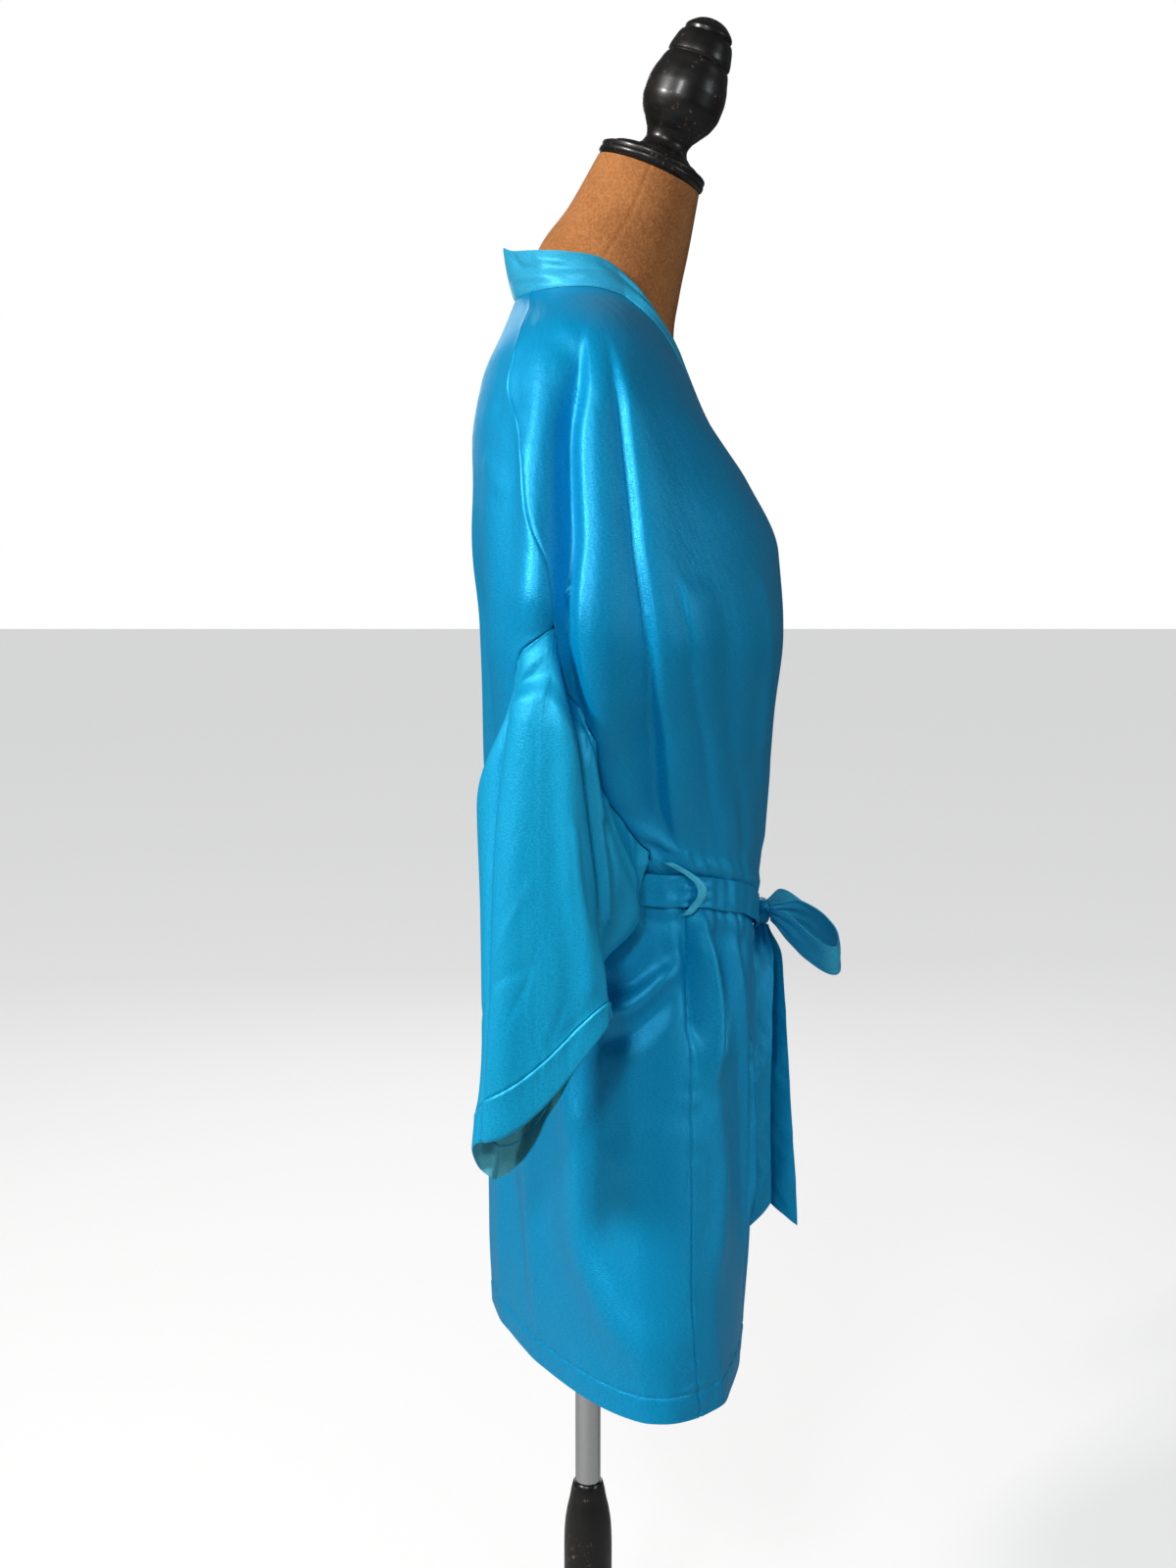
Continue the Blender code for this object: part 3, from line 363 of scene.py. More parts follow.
# %% Smooth curves through a few knots
def through(knots, values, at):
    """Values between knots, on curves that pass through every knot and never overshoot it."""
    knots, values = np.asarray(knots, float), np.asarray(values, float)
    at = np.clip(np.asarray(at, float), knots[0], knots[-1])
    spread = (slice(None),) + (None,) * (values.ndim - 1)
    steps = np.diff(knots)
    slopes = np.diff(values, axis=0) / steps[spread]
    before, after = slopes[:-1], slopes[1:]
    same = before * after > 0
    first = (2 * steps[1:] + steps[:-1])[spread]
    second = (steps[1:] + 2 * steps[:-1])[spread]
    weighted = first / np.where(same, before, 1.0) + second / np.where(same, after, 1.0)
    inner = np.where(same, (first + second) / np.where(same, weighted, 1.0), 0.0)
    tangents = np.concatenate([slopes[:1], inner, slopes[-1:]])
    i = np.clip(np.searchsorted(knots, at, side="right") - 1, 0, len(steps) - 1)
    widen = (...,) + (None,) * (values.ndim - 1)
    step = steps[i][widen]
    t = (at - knots[i])[widen] / step
    return (
        (1 + 2 * t) * (1 - t) ** 2 * values[i]
        + t * (1 - t) ** 2 * step * tangents[i]
        + t * t * (3 - 2 * t) * values[i + 1]
        + t * t * (t - 1) * step * tangents[i + 1]
    )


def rows_at(table, height):
    """Every column of a table at the given heights."""
    rows = np.array(sorted(table), float)
    return through(rows[:, 0], rows, height)


def seam_angle(table, height):
    """A table's second column, the angle, at the given heights."""
    return rows_at(table, height)[..., 1]


def ease(low, high, x):
    """0 at low and before it, 1 at high and past it, with a smooth start and stop."""
    t = np.clip((np.asarray(x, float) - low) / (high - low), 0.0, 1.0)
    return t * t * (3 - 2 * t)


def bell(away, reach):
    """1 at nought, and falling softly away on both sides."""
    return np.exp(-((away / reach) ** 2))


def unit(vectors):
    return vectors / np.maximum(np.linalg.norm(vectors, axis=-1, keepdims=True), 1e-12)


def angle_apart(a, b):
    """How far one angle is past another, between -180 and 180."""
    return (a - b + 180.0) % 360.0 - 180.0


# %% The robe's rings
# Columns: height, side_x, side_y, side_z, front_y, front_z, back_y, back_z, front_square, back_square
ROBE_RINGS = (
    (1.352, 0.072, 0.005, 1.352, -0.070, 1.318, 0.058, 1.349, 2.0, 2.0),
    (1.335, 0.122, 0.006, 1.338, -0.080, 1.290, 0.068, 1.322, 2.0, 2.2),
    (1.305, 0.172, 0.009, 1.309, -0.0955, 1.250, 0.0835, 1.283, 2.2, 2.3),
    (1.262, 0.200, 0.013, 1.262, -0.1265, 1.203, 0.0905, 1.235, 2.2, 2.4),
    (1.195, 0.219, 0.018, 1.195, -0.149, 1.152, 0.0890, 1.180, 2.4, 2.4),
    (1.105, 0.240, 0.027, 1.105, -0.152, 1.090, 0.080, 1.100, 2.6, 2.6),
    (1.030, 0.218, 0.025, 1.030, -0.147, 1.030, 0.078, 1.030, 2.6, 2.8),
    (0.980, 0.197, 0.018, 0.980, -0.144, 0.980, 0.078, 0.980, 2.6, 2.7),
    (0.940, 0.178, 0.000, 0.940, -0.141, 0.940, 0.079, 0.940, 2.6, 2.5),
    (0.905, 0.167, -0.018, 0.905, -0.139, 0.905, 0.080, 0.905, 2.6, 2.0),
    (0.860, 0.166, -0.026, 0.860, -0.135, 0.860, 0.082, 0.860, 2.6, 1.7),
    (0.800, 0.172, -0.031, 0.800, -0.131, 0.800, 0.082, 0.800, 2.6, 1.6),
    (0.700, 0.179, -0.037, 0.700, -0.129, 0.700, 0.082, 0.700, 2.6, 1.5),
    (0.600, 0.184, -0.042, 0.600, -0.128, 0.600, 0.082, 0.602, 2.6, 1.4),
    (0.505, 0.187, -0.046, 0.503, -0.125, 0.500, 0.0815, 0.5155, 2.7, 1.4),
)


def ring_points(table, angle, height, dip=2.0):
    """Points on a stack of rings, at angles in degrees and at the table's own heights."""
    angle, height = np.broadcast_arrays(np.asarray(angle, float), np.asarray(height, float))
    row = rows_at(table, height)
    side_x, side_y, side_z, front_y, front_z, back_y, back_z, front_n, back_n = (
        row[..., k] for k in range(1, 10)
    )
    sine, cosine = np.sin(np.radians(angle)), np.cos(np.radians(angle))
    front = cosine >= 0
    deep = np.where(front, side_y - front_y, back_y - side_y)
    square = np.where(front, front_n, back_n)
    centre_z = np.where(front, front_z, back_z)
    inverse = (np.abs(sine) / side_x) ** square + (np.abs(cosine) / deep) ** square
    reach = inverse ** (-1 / square)
    z = side_z + (centre_z - side_z) * (reach * np.abs(cosine) / deep) ** dip
    return np.stack([-reach * sine, side_y - reach * cosine, z], axis=-1)


def outward(table, angle, height):
    """The unit direction that leaves the rings' surface at each point."""
    turn, drop = 0.5, 0.002
    around = ring_points(table, angle + turn, height) - ring_points(table, angle - turn, height)
    high = np.minimum(height + drop, table[0][0])
    low = np.maximum(height - drop, table[-1][0])
    upward = ring_points(table, angle, high) - ring_points(table, angle, low)
    return unit(np.cross(upward, around))


# %% [markdown]
# ## Creases placed one by one
#
# On the real robe the cloth falls from the shoulder in a few long ridges with dark hollows between
# them. They lean forward as they come down, and meet at the belt loop. Below the belt short pulls
# run back from the loop, a few sharp pleats hang from it, and the rest of the skirt is almost plain.
# A cloth simulation gives folds, but not these ones, so each is drawn one by one: a line of a few
# (angle, height) marks, how far it rises, and how softly it falls away on its front side and on its
# back side. A rise below nought is a hollow. A fold whose edge rolls over a hollow needs a sharper
# form than that, and is drawn as a lap. The left side, which the photograph hides, gets the same
# kinds of folds, a little moved.

# %% The creases of the robe's right side
# Each is a line of (angle, height) marks, then its rise, front width and back width in millimetres.
SIDE_CREASES = (
    (((96.0, 1.300), (95.5, 1.240), (95.0, 1.199), (93.5, 1.158), (92.0, 1.119), (91.5, 1.090)), 9.5, 9, 9),
    (((104, 1.274), (98.5, 1.201), (96.5, 1.160), (95.0, 1.120)), -2.2, 6, 9),
    (((82, 1.060), (79, 1.004), (76, 0.960)), 3.5, 9, 10),
    (((75.0, 1.065), (72.0, 1.023), (70.8, 0.979), (71.0, 0.940)), -4.0, 4, 7),
    (((60, 1.150), (57, 1.080), (53, 1.010), (51, 0.940)), -2.0, 9, 8),
    (((50.5, 1.182), (44, 1.133), (41, 1.061), (38, 0.982)), 2.4, 12, 8),
    (((44, 1.080), (38, 1.010), (34, 0.925)), 1.8, 12, 9),
    (((30, 1.020), (25, 0.950), (23, 0.915)), 1.6, 10, 9),
    (((50, 1.010), (47, 0.960), (46, 0.925)), -2.0, 6, 6),
    (((38, 0.985), (36, 0.950), (35, 0.915)), -1.6, 6, 6),
    (((78, 0.968), (74, 0.950), (70, 0.937), (65, 0.928)), 4.5, 5, 5),
    (((76, 0.950), (72, 0.938), (68, 0.930)), -3.5, 4, 4),
    (((110, 1.230), (106, 1.190), (103, 1.141), (102, 1.092), (104, 1.040)), 3.0, 9, 13),
    (((112, 1.245), (107, 1.220), (99, 1.195)), 1.6, 6, 6),
    (((110, 1.262), (105, 1.270), (100, 1.256)), -2.0, 6, 6),
    (((102, 1.317), (93.5, 1.300), (87, 1.280)), -2.2, 5, 7),
    (((110, 1.329), (100, 1.321), (92, 1.328)), -1.2, 10, 12),
    (((118, 1.160), (113, 1.080), (112, 1.000), (114, 0.940)), -4.0, 12, 12),
    (((88, 0.893), (78, 0.886), (70, 0.885)), -4.0, 4, 5),
    (((104, 0.836), (90, 0.838), (82, 0.851), (74, 0.868)), -6.0, 7, 6),
    (((102, 0.816), (90, 0.822), (82, 0.842), (75, 0.864)), 9.0, 10, 8),
    (((108, 0.785), (90.5, 0.801), (84.5, 0.815), (78, 0.842)), -6.0, 10, 8),
    (((96, 0.810), (98, 0.750), (94, 0.690)), -2.0, 12, 14),
    (((124, 0.800), (112, 0.760), (106, 0.700), (107, 0.637), (101, 0.597), (92, 0.559), (83, 0.525)),
     7.5, 13, 20),
    (((80, 0.745), (90, 0.716), (99, 0.695)), 2.0, 12, 14),
    (((88, 0.600), (86, 0.540), (85, 0.480)), 2.2, 12, 12),
    (((72.5, 0.902), (73.0, 0.850), (73.3, 0.815), (74.0, 0.780)), -8.0, 5, 4),
    (((68.5, 0.912), (67.5, 0.860), (67.0, 0.822), (68.0, 0.785), (70.5, 0.745)), 12.5, 6, 9),
    (((62.0, 0.895), (61.5, 0.840), (62, 0.800), (65, 0.765)), -8.0, 6, 6),
    (((67, 0.790), (68, 0.740), (66, 0.690), (69, 0.630), (73, 0.570)), 4.5, 10, 9),
    (((56, 0.905), (54, 0.820), (51, 0.740), (50, 0.660), (53, 0.560)), 7.5, 8, 7),
    (((48.5, 0.890), (50, 0.844), (48, 0.800), (43, 0.740)), -8.0, 6, 6),
    (((38, 0.870), (37, 0.780), (36, 0.650), (36, 0.450)), 5.0, 9, 9),
    (((28, 0.860), (27, 0.750), (29, 0.600), (28, 0.450)), -2.5, 12, 12),
    (((18, 0.850), (19, 0.740), (20, 0.600), (20, 0.450)), 2.5, 12, 12),
    (((8, 0.840), (9, 0.720), (11, 0.560)), -2.0, 12, 12),
    (((74, 0.600), (71, 0.540), (67, 0.450)), 2.5, 10, 10),
    (((120, 0.890), (116, 0.840), (113, 0.760), (118, 0.650)), -3.5, 14, 14),
    (((152, 0.700), (144, 0.620), (132, 0.500)), -2.5, 14, 16),
)
# A lap is a fold whose edge rolls over a hollow: it stands out sharply on the front side of its line
# and falls away slowly from there. After its line come the step, how wide it is rolled, how far it
# fades, how deep the hollow behind it is, and how wide that is, in millimetres.
SIDE_LAPS = (
    (((88.0, 1.315), (87.5, 1.274), (88.3, 1.237), (87.5, 1.198), (86.3, 1.158), (86.2, 1.119), (85.5, 1.080),
      (84.0, 1.040), (82.0, 1.000)), 10.0, 8, 14, 14, 17),
    (((83.0, 1.310), (81.0, 1.273), (79.5, 1.240), (78.0, 1.201), (76.5, 1.161), (74.5, 1.122), (72.5, 1.066),
      (69.5, 1.007), (69.0, 0.963), (69.0, 0.925)), 6.0, 7, 14, 4.0, 9),
    (((70.0, 1.150), (68.0, 1.123), (64.5, 1.065), (59.0, 1.006), (56.5, 0.959), (55.5, 0.920)),
     2.8, 7, 14, 1.4, 5),
    (((98.0, 0.856), (92.0, 0.874), (87.0, 0.888), (79.0, 0.905)), 4.5, 9, 16, 2.0, 8),
    (((53.0, 0.912), (52.0, 0.850), (50.5, 0.770), (50.0, 0.690), (51.5, 0.610)), 4.5, 5, 13, 3.0, 6),
)
BACK_CREASES = (
    (((127, 1.250), (127, 1.120), (128, 1.000), (129, 0.920)), 5.0, 17, 17),
    (((140, 1.100), (139, 1.000), (140, 0.915)), -4.0, 12, 12),
    (((148, 1.200), (150, 1.080), (152, 0.915)), 3.5, 14, 16),
    (((162, 1.120), (163, 1.000), (165, 0.915)), -4.5, 14, 14),
    (((171, 1.180), (174, 1.050), (177, 0.915)), 4.5, 15, 17),
    (((186, 1.080), (187, 1.000), (189, 0.915)), -3.5, 13, 13),
    (((196, 1.150), (200, 1.030), (203, 0.915)), 4.0, 15, 15),
    (((214, 1.190), (214, 1.040), (215, 0.915)), -4.0, 14, 14),
    (((229, 1.240), (228, 1.100), (229, 0.915)), 5.0, 17, 15),
    (((180, 1.290), (176, 1.250), (178, 1.190)), -1.6, 12, 14),
    (((135, 0.900), (133, 0.800), (132, 0.660), (134, 0.450)), 4.5, 16, 16),
    (((147, 0.905), (146, 0.820), (144, 0.700)), -4.0, 12, 13),
    (((158, 0.900), (160, 0.780), (162, 0.620), (161, 0.450)), 4.5, 17, 17),
    (((170, 0.905), (171, 0.840), (173, 0.740)), -4.0, 11, 11),
    (((183, 0.900), (184, 0.760), (186, 0.600), (186, 0.450)), 5.0, 18, 18),
    (((196, 0.900), (196, 0.820), (195, 0.700)), -3.5, 12, 12),
    (((207, 0.905), (205, 0.780), (203, 0.640), (203, 0.450)), 4.5, 16, 17),
    (((219, 0.905), (219, 0.840), (220, 0.740)), -3.5, 12, 12),
    (((231, 0.900), (232, 0.760), (234, 0.600), (234, 0.450)), 4.5, 17, 16),
)


def left_side(folds):
    """The hidden side's folds: the same kinds, each moved and made a little deeper or shallower.

    A mirrored line has its front on its other side, so a crease's two widths change places and a
    lap's line runs the other way.
    """
    moved = []
    for index, (line, rise, *widths) in enumerate(folds):
        shift = 2.0 * math.sin(2.3 * index + 0.7)
        lower = 0.006 * math.sin(1.7 * index + 2.1)
        grow = 1 + 0.22 * math.sin(3.1 * index + 1.3)
        marks = tuple((-(angle + shift), height + lower) for angle, height in line)
        if len(widths) == 2:
            moved.append((marks, rise * grow, *widths[::-1]))
        else:
            moved.append((marks[::-1], rise * grow, *widths))
    return tuple(moved)


ROBE_CREASES = SIDE_CREASES + left_side(SIDE_CREASES) + BACK_CREASES
ROBE_LAPS = SIDE_LAPS + left_side(SIDE_LAPS)
print("creases on the body", len(ROBE_CREASES), "laps", len(ROBE_LAPS))


# %% How a line raises the cloth beside it
MARKS_BETWEEN = 6
CREASE_REACH, LAP_REACH = 2.6, 2.2
MILLIMETRE = 0.001
LAP_SOFT = 0.0024
HOLLOW_FALL = 1.5


def beside_line(line, reach, turn, up, spacing, metres_per_up):
    """The points within reach of a smooth line, how far in front of it they are, and where along it."""
    marks = np.array(line, float)
    fine = np.linspace(0, 1, MARKS_BETWEEN * (len(marks) - 1) + 1)
    path = through(np.linspace(0, 1, len(marks)), marks, fine)
    middle = path[:, 0].mean()
    high = up * metres_per_up
    apart = angle_apart(turn, middle)
    wide = np.ptp(path[:, 0]) / 2 + reach / spacing
    near = (np.abs(apart) < wide + 2) & (high > path[:, 1].min() * metres_per_up - reach)
    near &= high < path[:, 1].max() * metres_per_up + reach
    if not near.any():
        return near, None, None
    scale = spacing[near].mean()
    points = np.stack([apart[near] * scale, high[near]], axis=-1)[:, None]
    knots = np.stack([(path[:, 0] - middle) * scale, path[:, 1] * metres_per_up], axis=-1)
    start, along = knots[:-1], np.diff(knots, axis=0)
    share = np.clip(((points - start) * along).sum(-1) / (along**2).sum(-1), 0, 1)
    gap = points - start - share[..., None] * along
    far = np.hypot(gap[..., 0], gap[..., 1])
    nearest = far.argmin(axis=1)
    pick = np.arange(len(nearest))
    chosen = gap[pick, nearest]
    behind = along[nearest, 0] * chosen[:, 1] - along[nearest, 1] * chosen[:, 0] > 0
    ahead = np.where(behind, -far[pick, nearest], far[pick, nearest])
    return near, ahead, (nearest + share[pick, nearest]) / len(along)


# %% Soft creases and rolled laps
def faded(share, ends):
    """1 along a line, easing to nought over a share of it at each end."""
    return ease(0, ends, share) * (1 - ease(1 - ends, 1, share))


def crease_relief(creases, turn, up, metres_per_turn, metres_per_up=1.0, ends=0.28):
    """How far soft ridges and hollows, laid along smooth lines, raise each point."""
    turn, up = np.broadcast_arrays(np.asarray(turn, float), np.asarray(up, float))
    spacing = np.broadcast_to(metres_per_turn, turn.shape)
    raised = np.zeros(turn.shape)
    for line, rise, front_width, back_width in creases:
        reach = CREASE_REACH * MILLIMETRE * max(front_width, back_width)
        near, ahead, share = beside_line(line, reach, turn, up, spacing, metres_per_up)
        if near.any():
            width = np.where(ahead < 0, back_width, front_width) * MILLIMETRE
            raised[near] += rise * MILLIMETRE * bell(ahead, width) * faded(share, ends)
    return raised


def lap_relief(laps, turn, up, metres_per_turn, metres_per_up=1.0, ends=0.18):
    """How far rolled laps, and the hollows behind them, raise each point."""
    turn, up = np.broadcast_arrays(np.asarray(turn, float), np.asarray(up, float))
    spacing = np.broadcast_to(metres_per_turn, turn.shape)
    raised = np.zeros(turn.shape)
    for line, *sizes in laps:
        step, roll, fades, sink, behind = (size * MILLIMETRE for size in sizes)
        reach = roll + LAP_REACH * max(fades, behind)
        near, ahead, share = beside_line(line, reach, turn, up, spacing, metres_per_up)
        if near.any():
            rolled = np.sqrt(1 - (1 - np.clip(ahead / roll, 0, 1)) ** 2)
            front = step * rolled * bell(np.maximum(ahead - roll, 0), fades)
            back = -sink * np.exp(-HOLLOW_FALL * np.abs(ahead) / behind)
            over = ease(-LAP_SOFT, LAP_SOFT, ahead)
            raised[near] += (front * over + back * (1 - over)) * faded(share, ends)
    return raised


# %% [markdown]
# ## The body of the robe
#
# The belt draws the cloth in and flattens the folds under it, and it gathers short uneven puckers
# above and below itself. So the height of the cloth over its rings is the sum of the creases, less
# what the belt holds, plus the gathers, plus a very faint unevenness that no satin is without.

# %% Where the outer face of the robe lies
BELT_WIDTH = 0.024
BELT_HEIGHT = 0.914
BELT_SAG = 0.057
BELT_HOLD = 0.038
BELT_PINCH = 0.007
FRONT_PINCH = 0.003
FOLDS_HELD = 0.75
FOLDS_HELD_REACH = 0.019
BLOUSE_ABOVE, BLOUSE_BELOW = 0.0032, 0.0026
BLOUSE_AWAY, BLOUSE_REACH = 0.0205, 0.0075
GATHER_DEPTH = 0.0013
GATHER_REACH, GATHER_PRESSED = 0.042, 0.011
SMOOTH_ABOVE, FOLDED_BELOW = 1.325, 1.285
UNEVEN_DEPTH = 0.0012
MEAN_RADIUS = 0.18


def frontness(angle):
    """1 at the centre front, falling to 0 at the centre back."""
    return (1 + np.cos(np.radians(angle))) / 2


def belt_middle(angle):
    """The height of the belt's middle: it sags to the knot at the centre front."""
    return BELT_HEIGHT - BELT_SAG * frontness(angle) ** 5


def unevenness(across, along, depth):
    """A faint, fixed waviness: a few long sine waves that cross at odd angles."""
    waves = ((31, 9, 0.4), (-47, 14, 1.9), (73, 22, 0.8), (18, -37, 2.6), (97, 31, 4.1), (-61, 45, 5.2))
    total = sum(np.sin(a * across + b * along + c) / (1 + abs(a) / 60) for a, b, c in waves)
    return depth * total / len(waves)


def gathers(angle, height):
    """Puckers that the belt draws up, deepest just above and below it."""
    turn = np.radians(angle)
    away = height - belt_middle(angle)
    wander = 2.2 * np.sin(3 * turn + 0.6) + 1.4 * np.sin(7 * turn + 18 * away + 1.1)
    pattern = np.sin(41 * turn + wander) + 0.6 * np.sin(67 * turn - 1.7 * wander + 0.9)
    near = bell(away, GATHER_REACH) * (1 - bell(away, GATHER_PRESSED))
    uneven = 0.65 + 0.35 * np.sin(5 * turn + 2.0)
    return GATHER_DEPTH * pattern * near * uneven


# %% Folds, belt and gathers together
def stand_of_cloth(angle, height):
    """How far the cloth stands out from its rings."""
    turn = np.radians(angle)
    rings = rows_at(ROBE_RINGS, height)
    metres_per_degree = np.radians((rings[..., 1] + rings[..., 6] - rings[..., 2]) / 2)
    folds = crease_relief(ROBE_CREASES, angle, height, metres_per_degree)
    folds += lap_relief(ROBE_LAPS, angle, height, metres_per_degree)
    shoulder = ease(SMOOTH_ABOVE, FOLDED_BELOW, height)
    folds = np.where(folds < 0, folds * shoulder, folds)
    faint = unevenness(turn * MEAN_RADIUS, height, UNEVEN_DEPTH) * shoulder
    away = height - belt_middle(angle)
    flattened = FOLDS_HELD * bell(away, FOLDS_HELD_REACH)
    pinch = BELT_PINCH + (FRONT_PINCH - BELT_PINCH) * frontness(angle) ** 2
    held = pinch * bell(away, BELT_HOLD)
    uneven = 1 + 0.35 * np.sin(turn * 9 + 1.0) * np.sin(turn * 4 + 0.3)
    above = bell(away - BLOUSE_AWAY, BLOUSE_REACH)
    below = bell(away + BLOUSE_AWAY, BLOUSE_REACH)
    blouse = (BLOUSE_ABOVE * above + BLOUSE_BELOW * below) * uneven
    return folds * (1 - flattened) - held + gathers(angle, height) + blouse + faint


def robe(angle, height, lift=0.0):
    """Points on the robe's outer face, moved out by lift."""
    angle, height = np.broadcast_arrays(np.asarray(angle, float), np.asarray(height, float))
    stand = stand_of_cloth(angle, height) + lift
    out = outward(ROBE_RINGS, angle, height)
    return ring_points(ROBE_RINGS, angle, height) + out * stand[..., None]


# %% [markdown]
# ## A sheet of cloth
#
# Every cut piece starts as Blender's grid, which already has a map laid out flat. Its points are
# moved to where the cloth hangs, its map is given the cloth's own size in metres, and a Solidify
# modifier gives the wall, with the wrong side of the satin on its inner face. A piece that goes
# all the way round, such as a sleeve, is a grid whose two edges meet and are merged.

# %% Selecting and editing
SMOOTH_UNDER = math.radians(60)


def deselect_all():
    if bpy.context.mode != "OBJECT":
        bpy.ops.object.mode_set(mode="OBJECT")
    bpy.ops.object.select_all(action="DESELECT")


def select_only(piece):
    deselect_all()
    piece.select_set(True)
    bpy.context.view_layer.objects.active = piece


@contextmanager
def editing_all():
    """Edit mode on the active piece with all of it selected, and object mode again afterwards."""
    bpy.ops.object.mode_set(mode="EDIT")
    bpy.ops.mesh.select_all(action="SELECT")
    yield
    bpy.ops.object.mode_set(mode="OBJECT")


# %% The size that a piece was cut to
def lengths(points, axis):
    """The running length along each row or column of a grid of points."""
    steps = np.linalg.norm(np.diff(points, axis=axis), axis=-1)
    return np.cumsum(np.insert(steps, 0, 0.0, axis=axis), axis=axis)


def cut_size(points):
    """The width, length and area of the flat piece that a grid of points was cut as."""
    width = lengths(points, 1)[:, -1].max()
    length = lengths(points, 0)[-1].max()
    across, down = points[:-1, 1:] - points[:-1, :-1], points[1:, :-1] - points[:-1, :-1]
    other_across, other_down = points[1:, 1:] - points[1:, :-1], points[1:, 1:] - points[:-1, 1:]
    first = np.linalg.norm(np.cross(across, down), axis=-1)
    second = np.linalg.norm(np.cross(other_across, other_down), axis=-1)
    return float(width), float(length), float((first + second).sum() / 2)


# %% Making a sheet
CLOTH_WALL = 0.0006
MERGE = 0.00001
# A place with no height, which stands for the whole upright line through the form's middle.
UPRIGHT_LINE = (0, 0, math.nan)
cut_sizes = {}


def grid_through(name, points):
    """Blender's grid, with its points moved to the given ones."""
    rows, columns = points.shape[:2]
    deselect_all()
    bpy.ops.mesh.primitive_grid_add(x_subdivisions=columns - 1, y_subdivisions=rows - 1, size=1)
    piece = bpy.context.object
    piece.name = name
    piece.data.vertices.foreach_set("co", points.astype(np.float32).ravel())
    piece.data.update()
    return piece


def closed_round(points):
    """A grid whose first column comes once more at its end, so that it can be merged to a tube."""
    return np.concatenate([points, points[:, :1]], axis=1)


def lay_out_map(mesh, points):
    """The map is the cloth laid flat: metres across it in u, and along it in v."""
    across = lengths(points, 1).mean(axis=0)
    along = lengths(points, 0).mean(axis=1)
    corners = np.zeros(len(mesh.loops), np.int32)
    mesh.loops.foreach_get("vertex_index", corners)
    flat = np.stack([across[corners % len(across)], along[corners // len(across)]], axis=-1)
    mesh.uv_layers.active.data.foreach_set("uv", flat.astype(np.float32).ravel())
    mesh.uv_layers.active.name = "UVMap"
    mesh.update()


def face_away_from(mesh, place):
    """Turn the faces over where, taken together, they look at the place."""
    centres = np.zeros(len(mesh.polygons) * 3)
    normals = np.zeros(len(mesh.polygons) * 3)
    mesh.polygons.foreach_get("center", centres)
    mesh.polygons.foreach_get("normal", normals)
    away = np.nan_to_num(centres.reshape(-1, 3) - np.asarray(place, float))
    if (away * normals.reshape(-1, 3)).sum() < 0:
        mesh.flip_normals()


def sheet(name, points, wall=CLOTH_WALL, tube=False, inward=None, finishes=(SATIN, WRONG_SIDE)):
    """A wall of cloth through a grid of points; inward is a place that its inner face looks at."""
    if tube:
        points = closed_round(points)
    piece = grid_through(name, points)
    lay_out_map(piece.data, points)
    if inward is not None:
        face_away_from(piece.data, inward)
    with editing_all():
        bpy.ops.mesh.remove_doubles(threshold=MERGE)
    for finish in finishes:
        piece.data.materials.append(finish)
    solidify = piece.modifiers.new("Wall", "SOLIDIFY")
    solidify.thickness = wall
    solidify.offset = -1
    solidify.use_quality_normals = True
    solidify.material_offset = len(finishes) - 1
    bpy.ops.object.modifier_apply(modifier=solidify.name)
    bpy.ops.object.shade_smooth_by_angle(angle=SMOOTH_UNDER)
    cut_sizes[name] = cut_size(points)
    return piece


# %% Dressing the form
NARROWEST_FLAT = 0.010


def wear(piece, node):
    """The sheet stands for its solid, moves with the form, and has its cut size printed."""
    width, length, area = cut_sizes[piece.name]
    width = round(max(width, NARROWEST_FLAT), 3)
    length = round(length, 3)
    area = round(area, 4)
    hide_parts(node)
    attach(piece, "root")
    print(piece.name, "cut", width, "x", length, "area", area)


# %% [markdown]
# ## Seams and hems
#
# Where two pieces are sewn, the turned-in edges under the cloth lift it a little on both sides, the
# thread draws the line itself in, and old seams pucker along their length. All three are shapes,
# so they are raised in the points close to the seam, and the grids are finer there.

# %% Seam lines, as angles round the body
# Columns: height, angle
SHOULDER_SEAM = (
    (1.352, 126.0), (1.335, 109.0), (1.305, 105.0), (1.281, 105.0), (1.252, 100.5),
    (1.226, 98.0), (1.187, 95.5), (1.168, 93.5), (1.147, 91.0), (1.110, 89.2),
)
ARMHOLE_FRONT = (
    (1.105, 89.1), (1.056, 87.0), (1.040, 84.0), (1.024, 82.0), (0.994, 82.0),
    (0.967, 79.0), (0.945, 77.2), (0.938, 75.6),
)
ARMHOLE_BACK = (
    (1.105, 89.4), (1.097, 92.2), (1.089, 95.0), (1.034, 98.0), (1.020, 102.0), (1.014, 104.5),
    (1.000, 109.0), (0.988, 110.0), (0.975, 107.5), (0.965, 102.5), (0.957, 96.5),
    (0.944, 84.0), (0.938, 78.0),
)
SIDE_SEAM = (
    (0.932, 76.6), (0.908, 74.0), (0.887, 72.0), (0.833, 73.5), (0.768, 75.5),
    (0.656, 77.5), (0.595, 78.5), (0.505, 77.5),
)
FRONT_EDGE = (
    (1.352, 62.0), (1.335, 43.0), (1.305, 30.0), (1.262, 18.0), (1.195, 8.5), (1.105, 0.0),
    (1.030, -7.0), (0.980, -12.0), (0.905, -20.0), (0.800, -22.0), (0.505, -24.0),
)
NECK_HEIGHT, HEM_HEIGHT = ROBE_RINGS[0][0], ROBE_RINGS[-1][0]
ARMHOLE_TOP, ARMHOLE_FOOT = ARMHOLE_FRONT[0][0], ARMHOLE_FRONT[-1][0]
SEAM_APART = 0.00012
SEAM_LAP = 0.0007

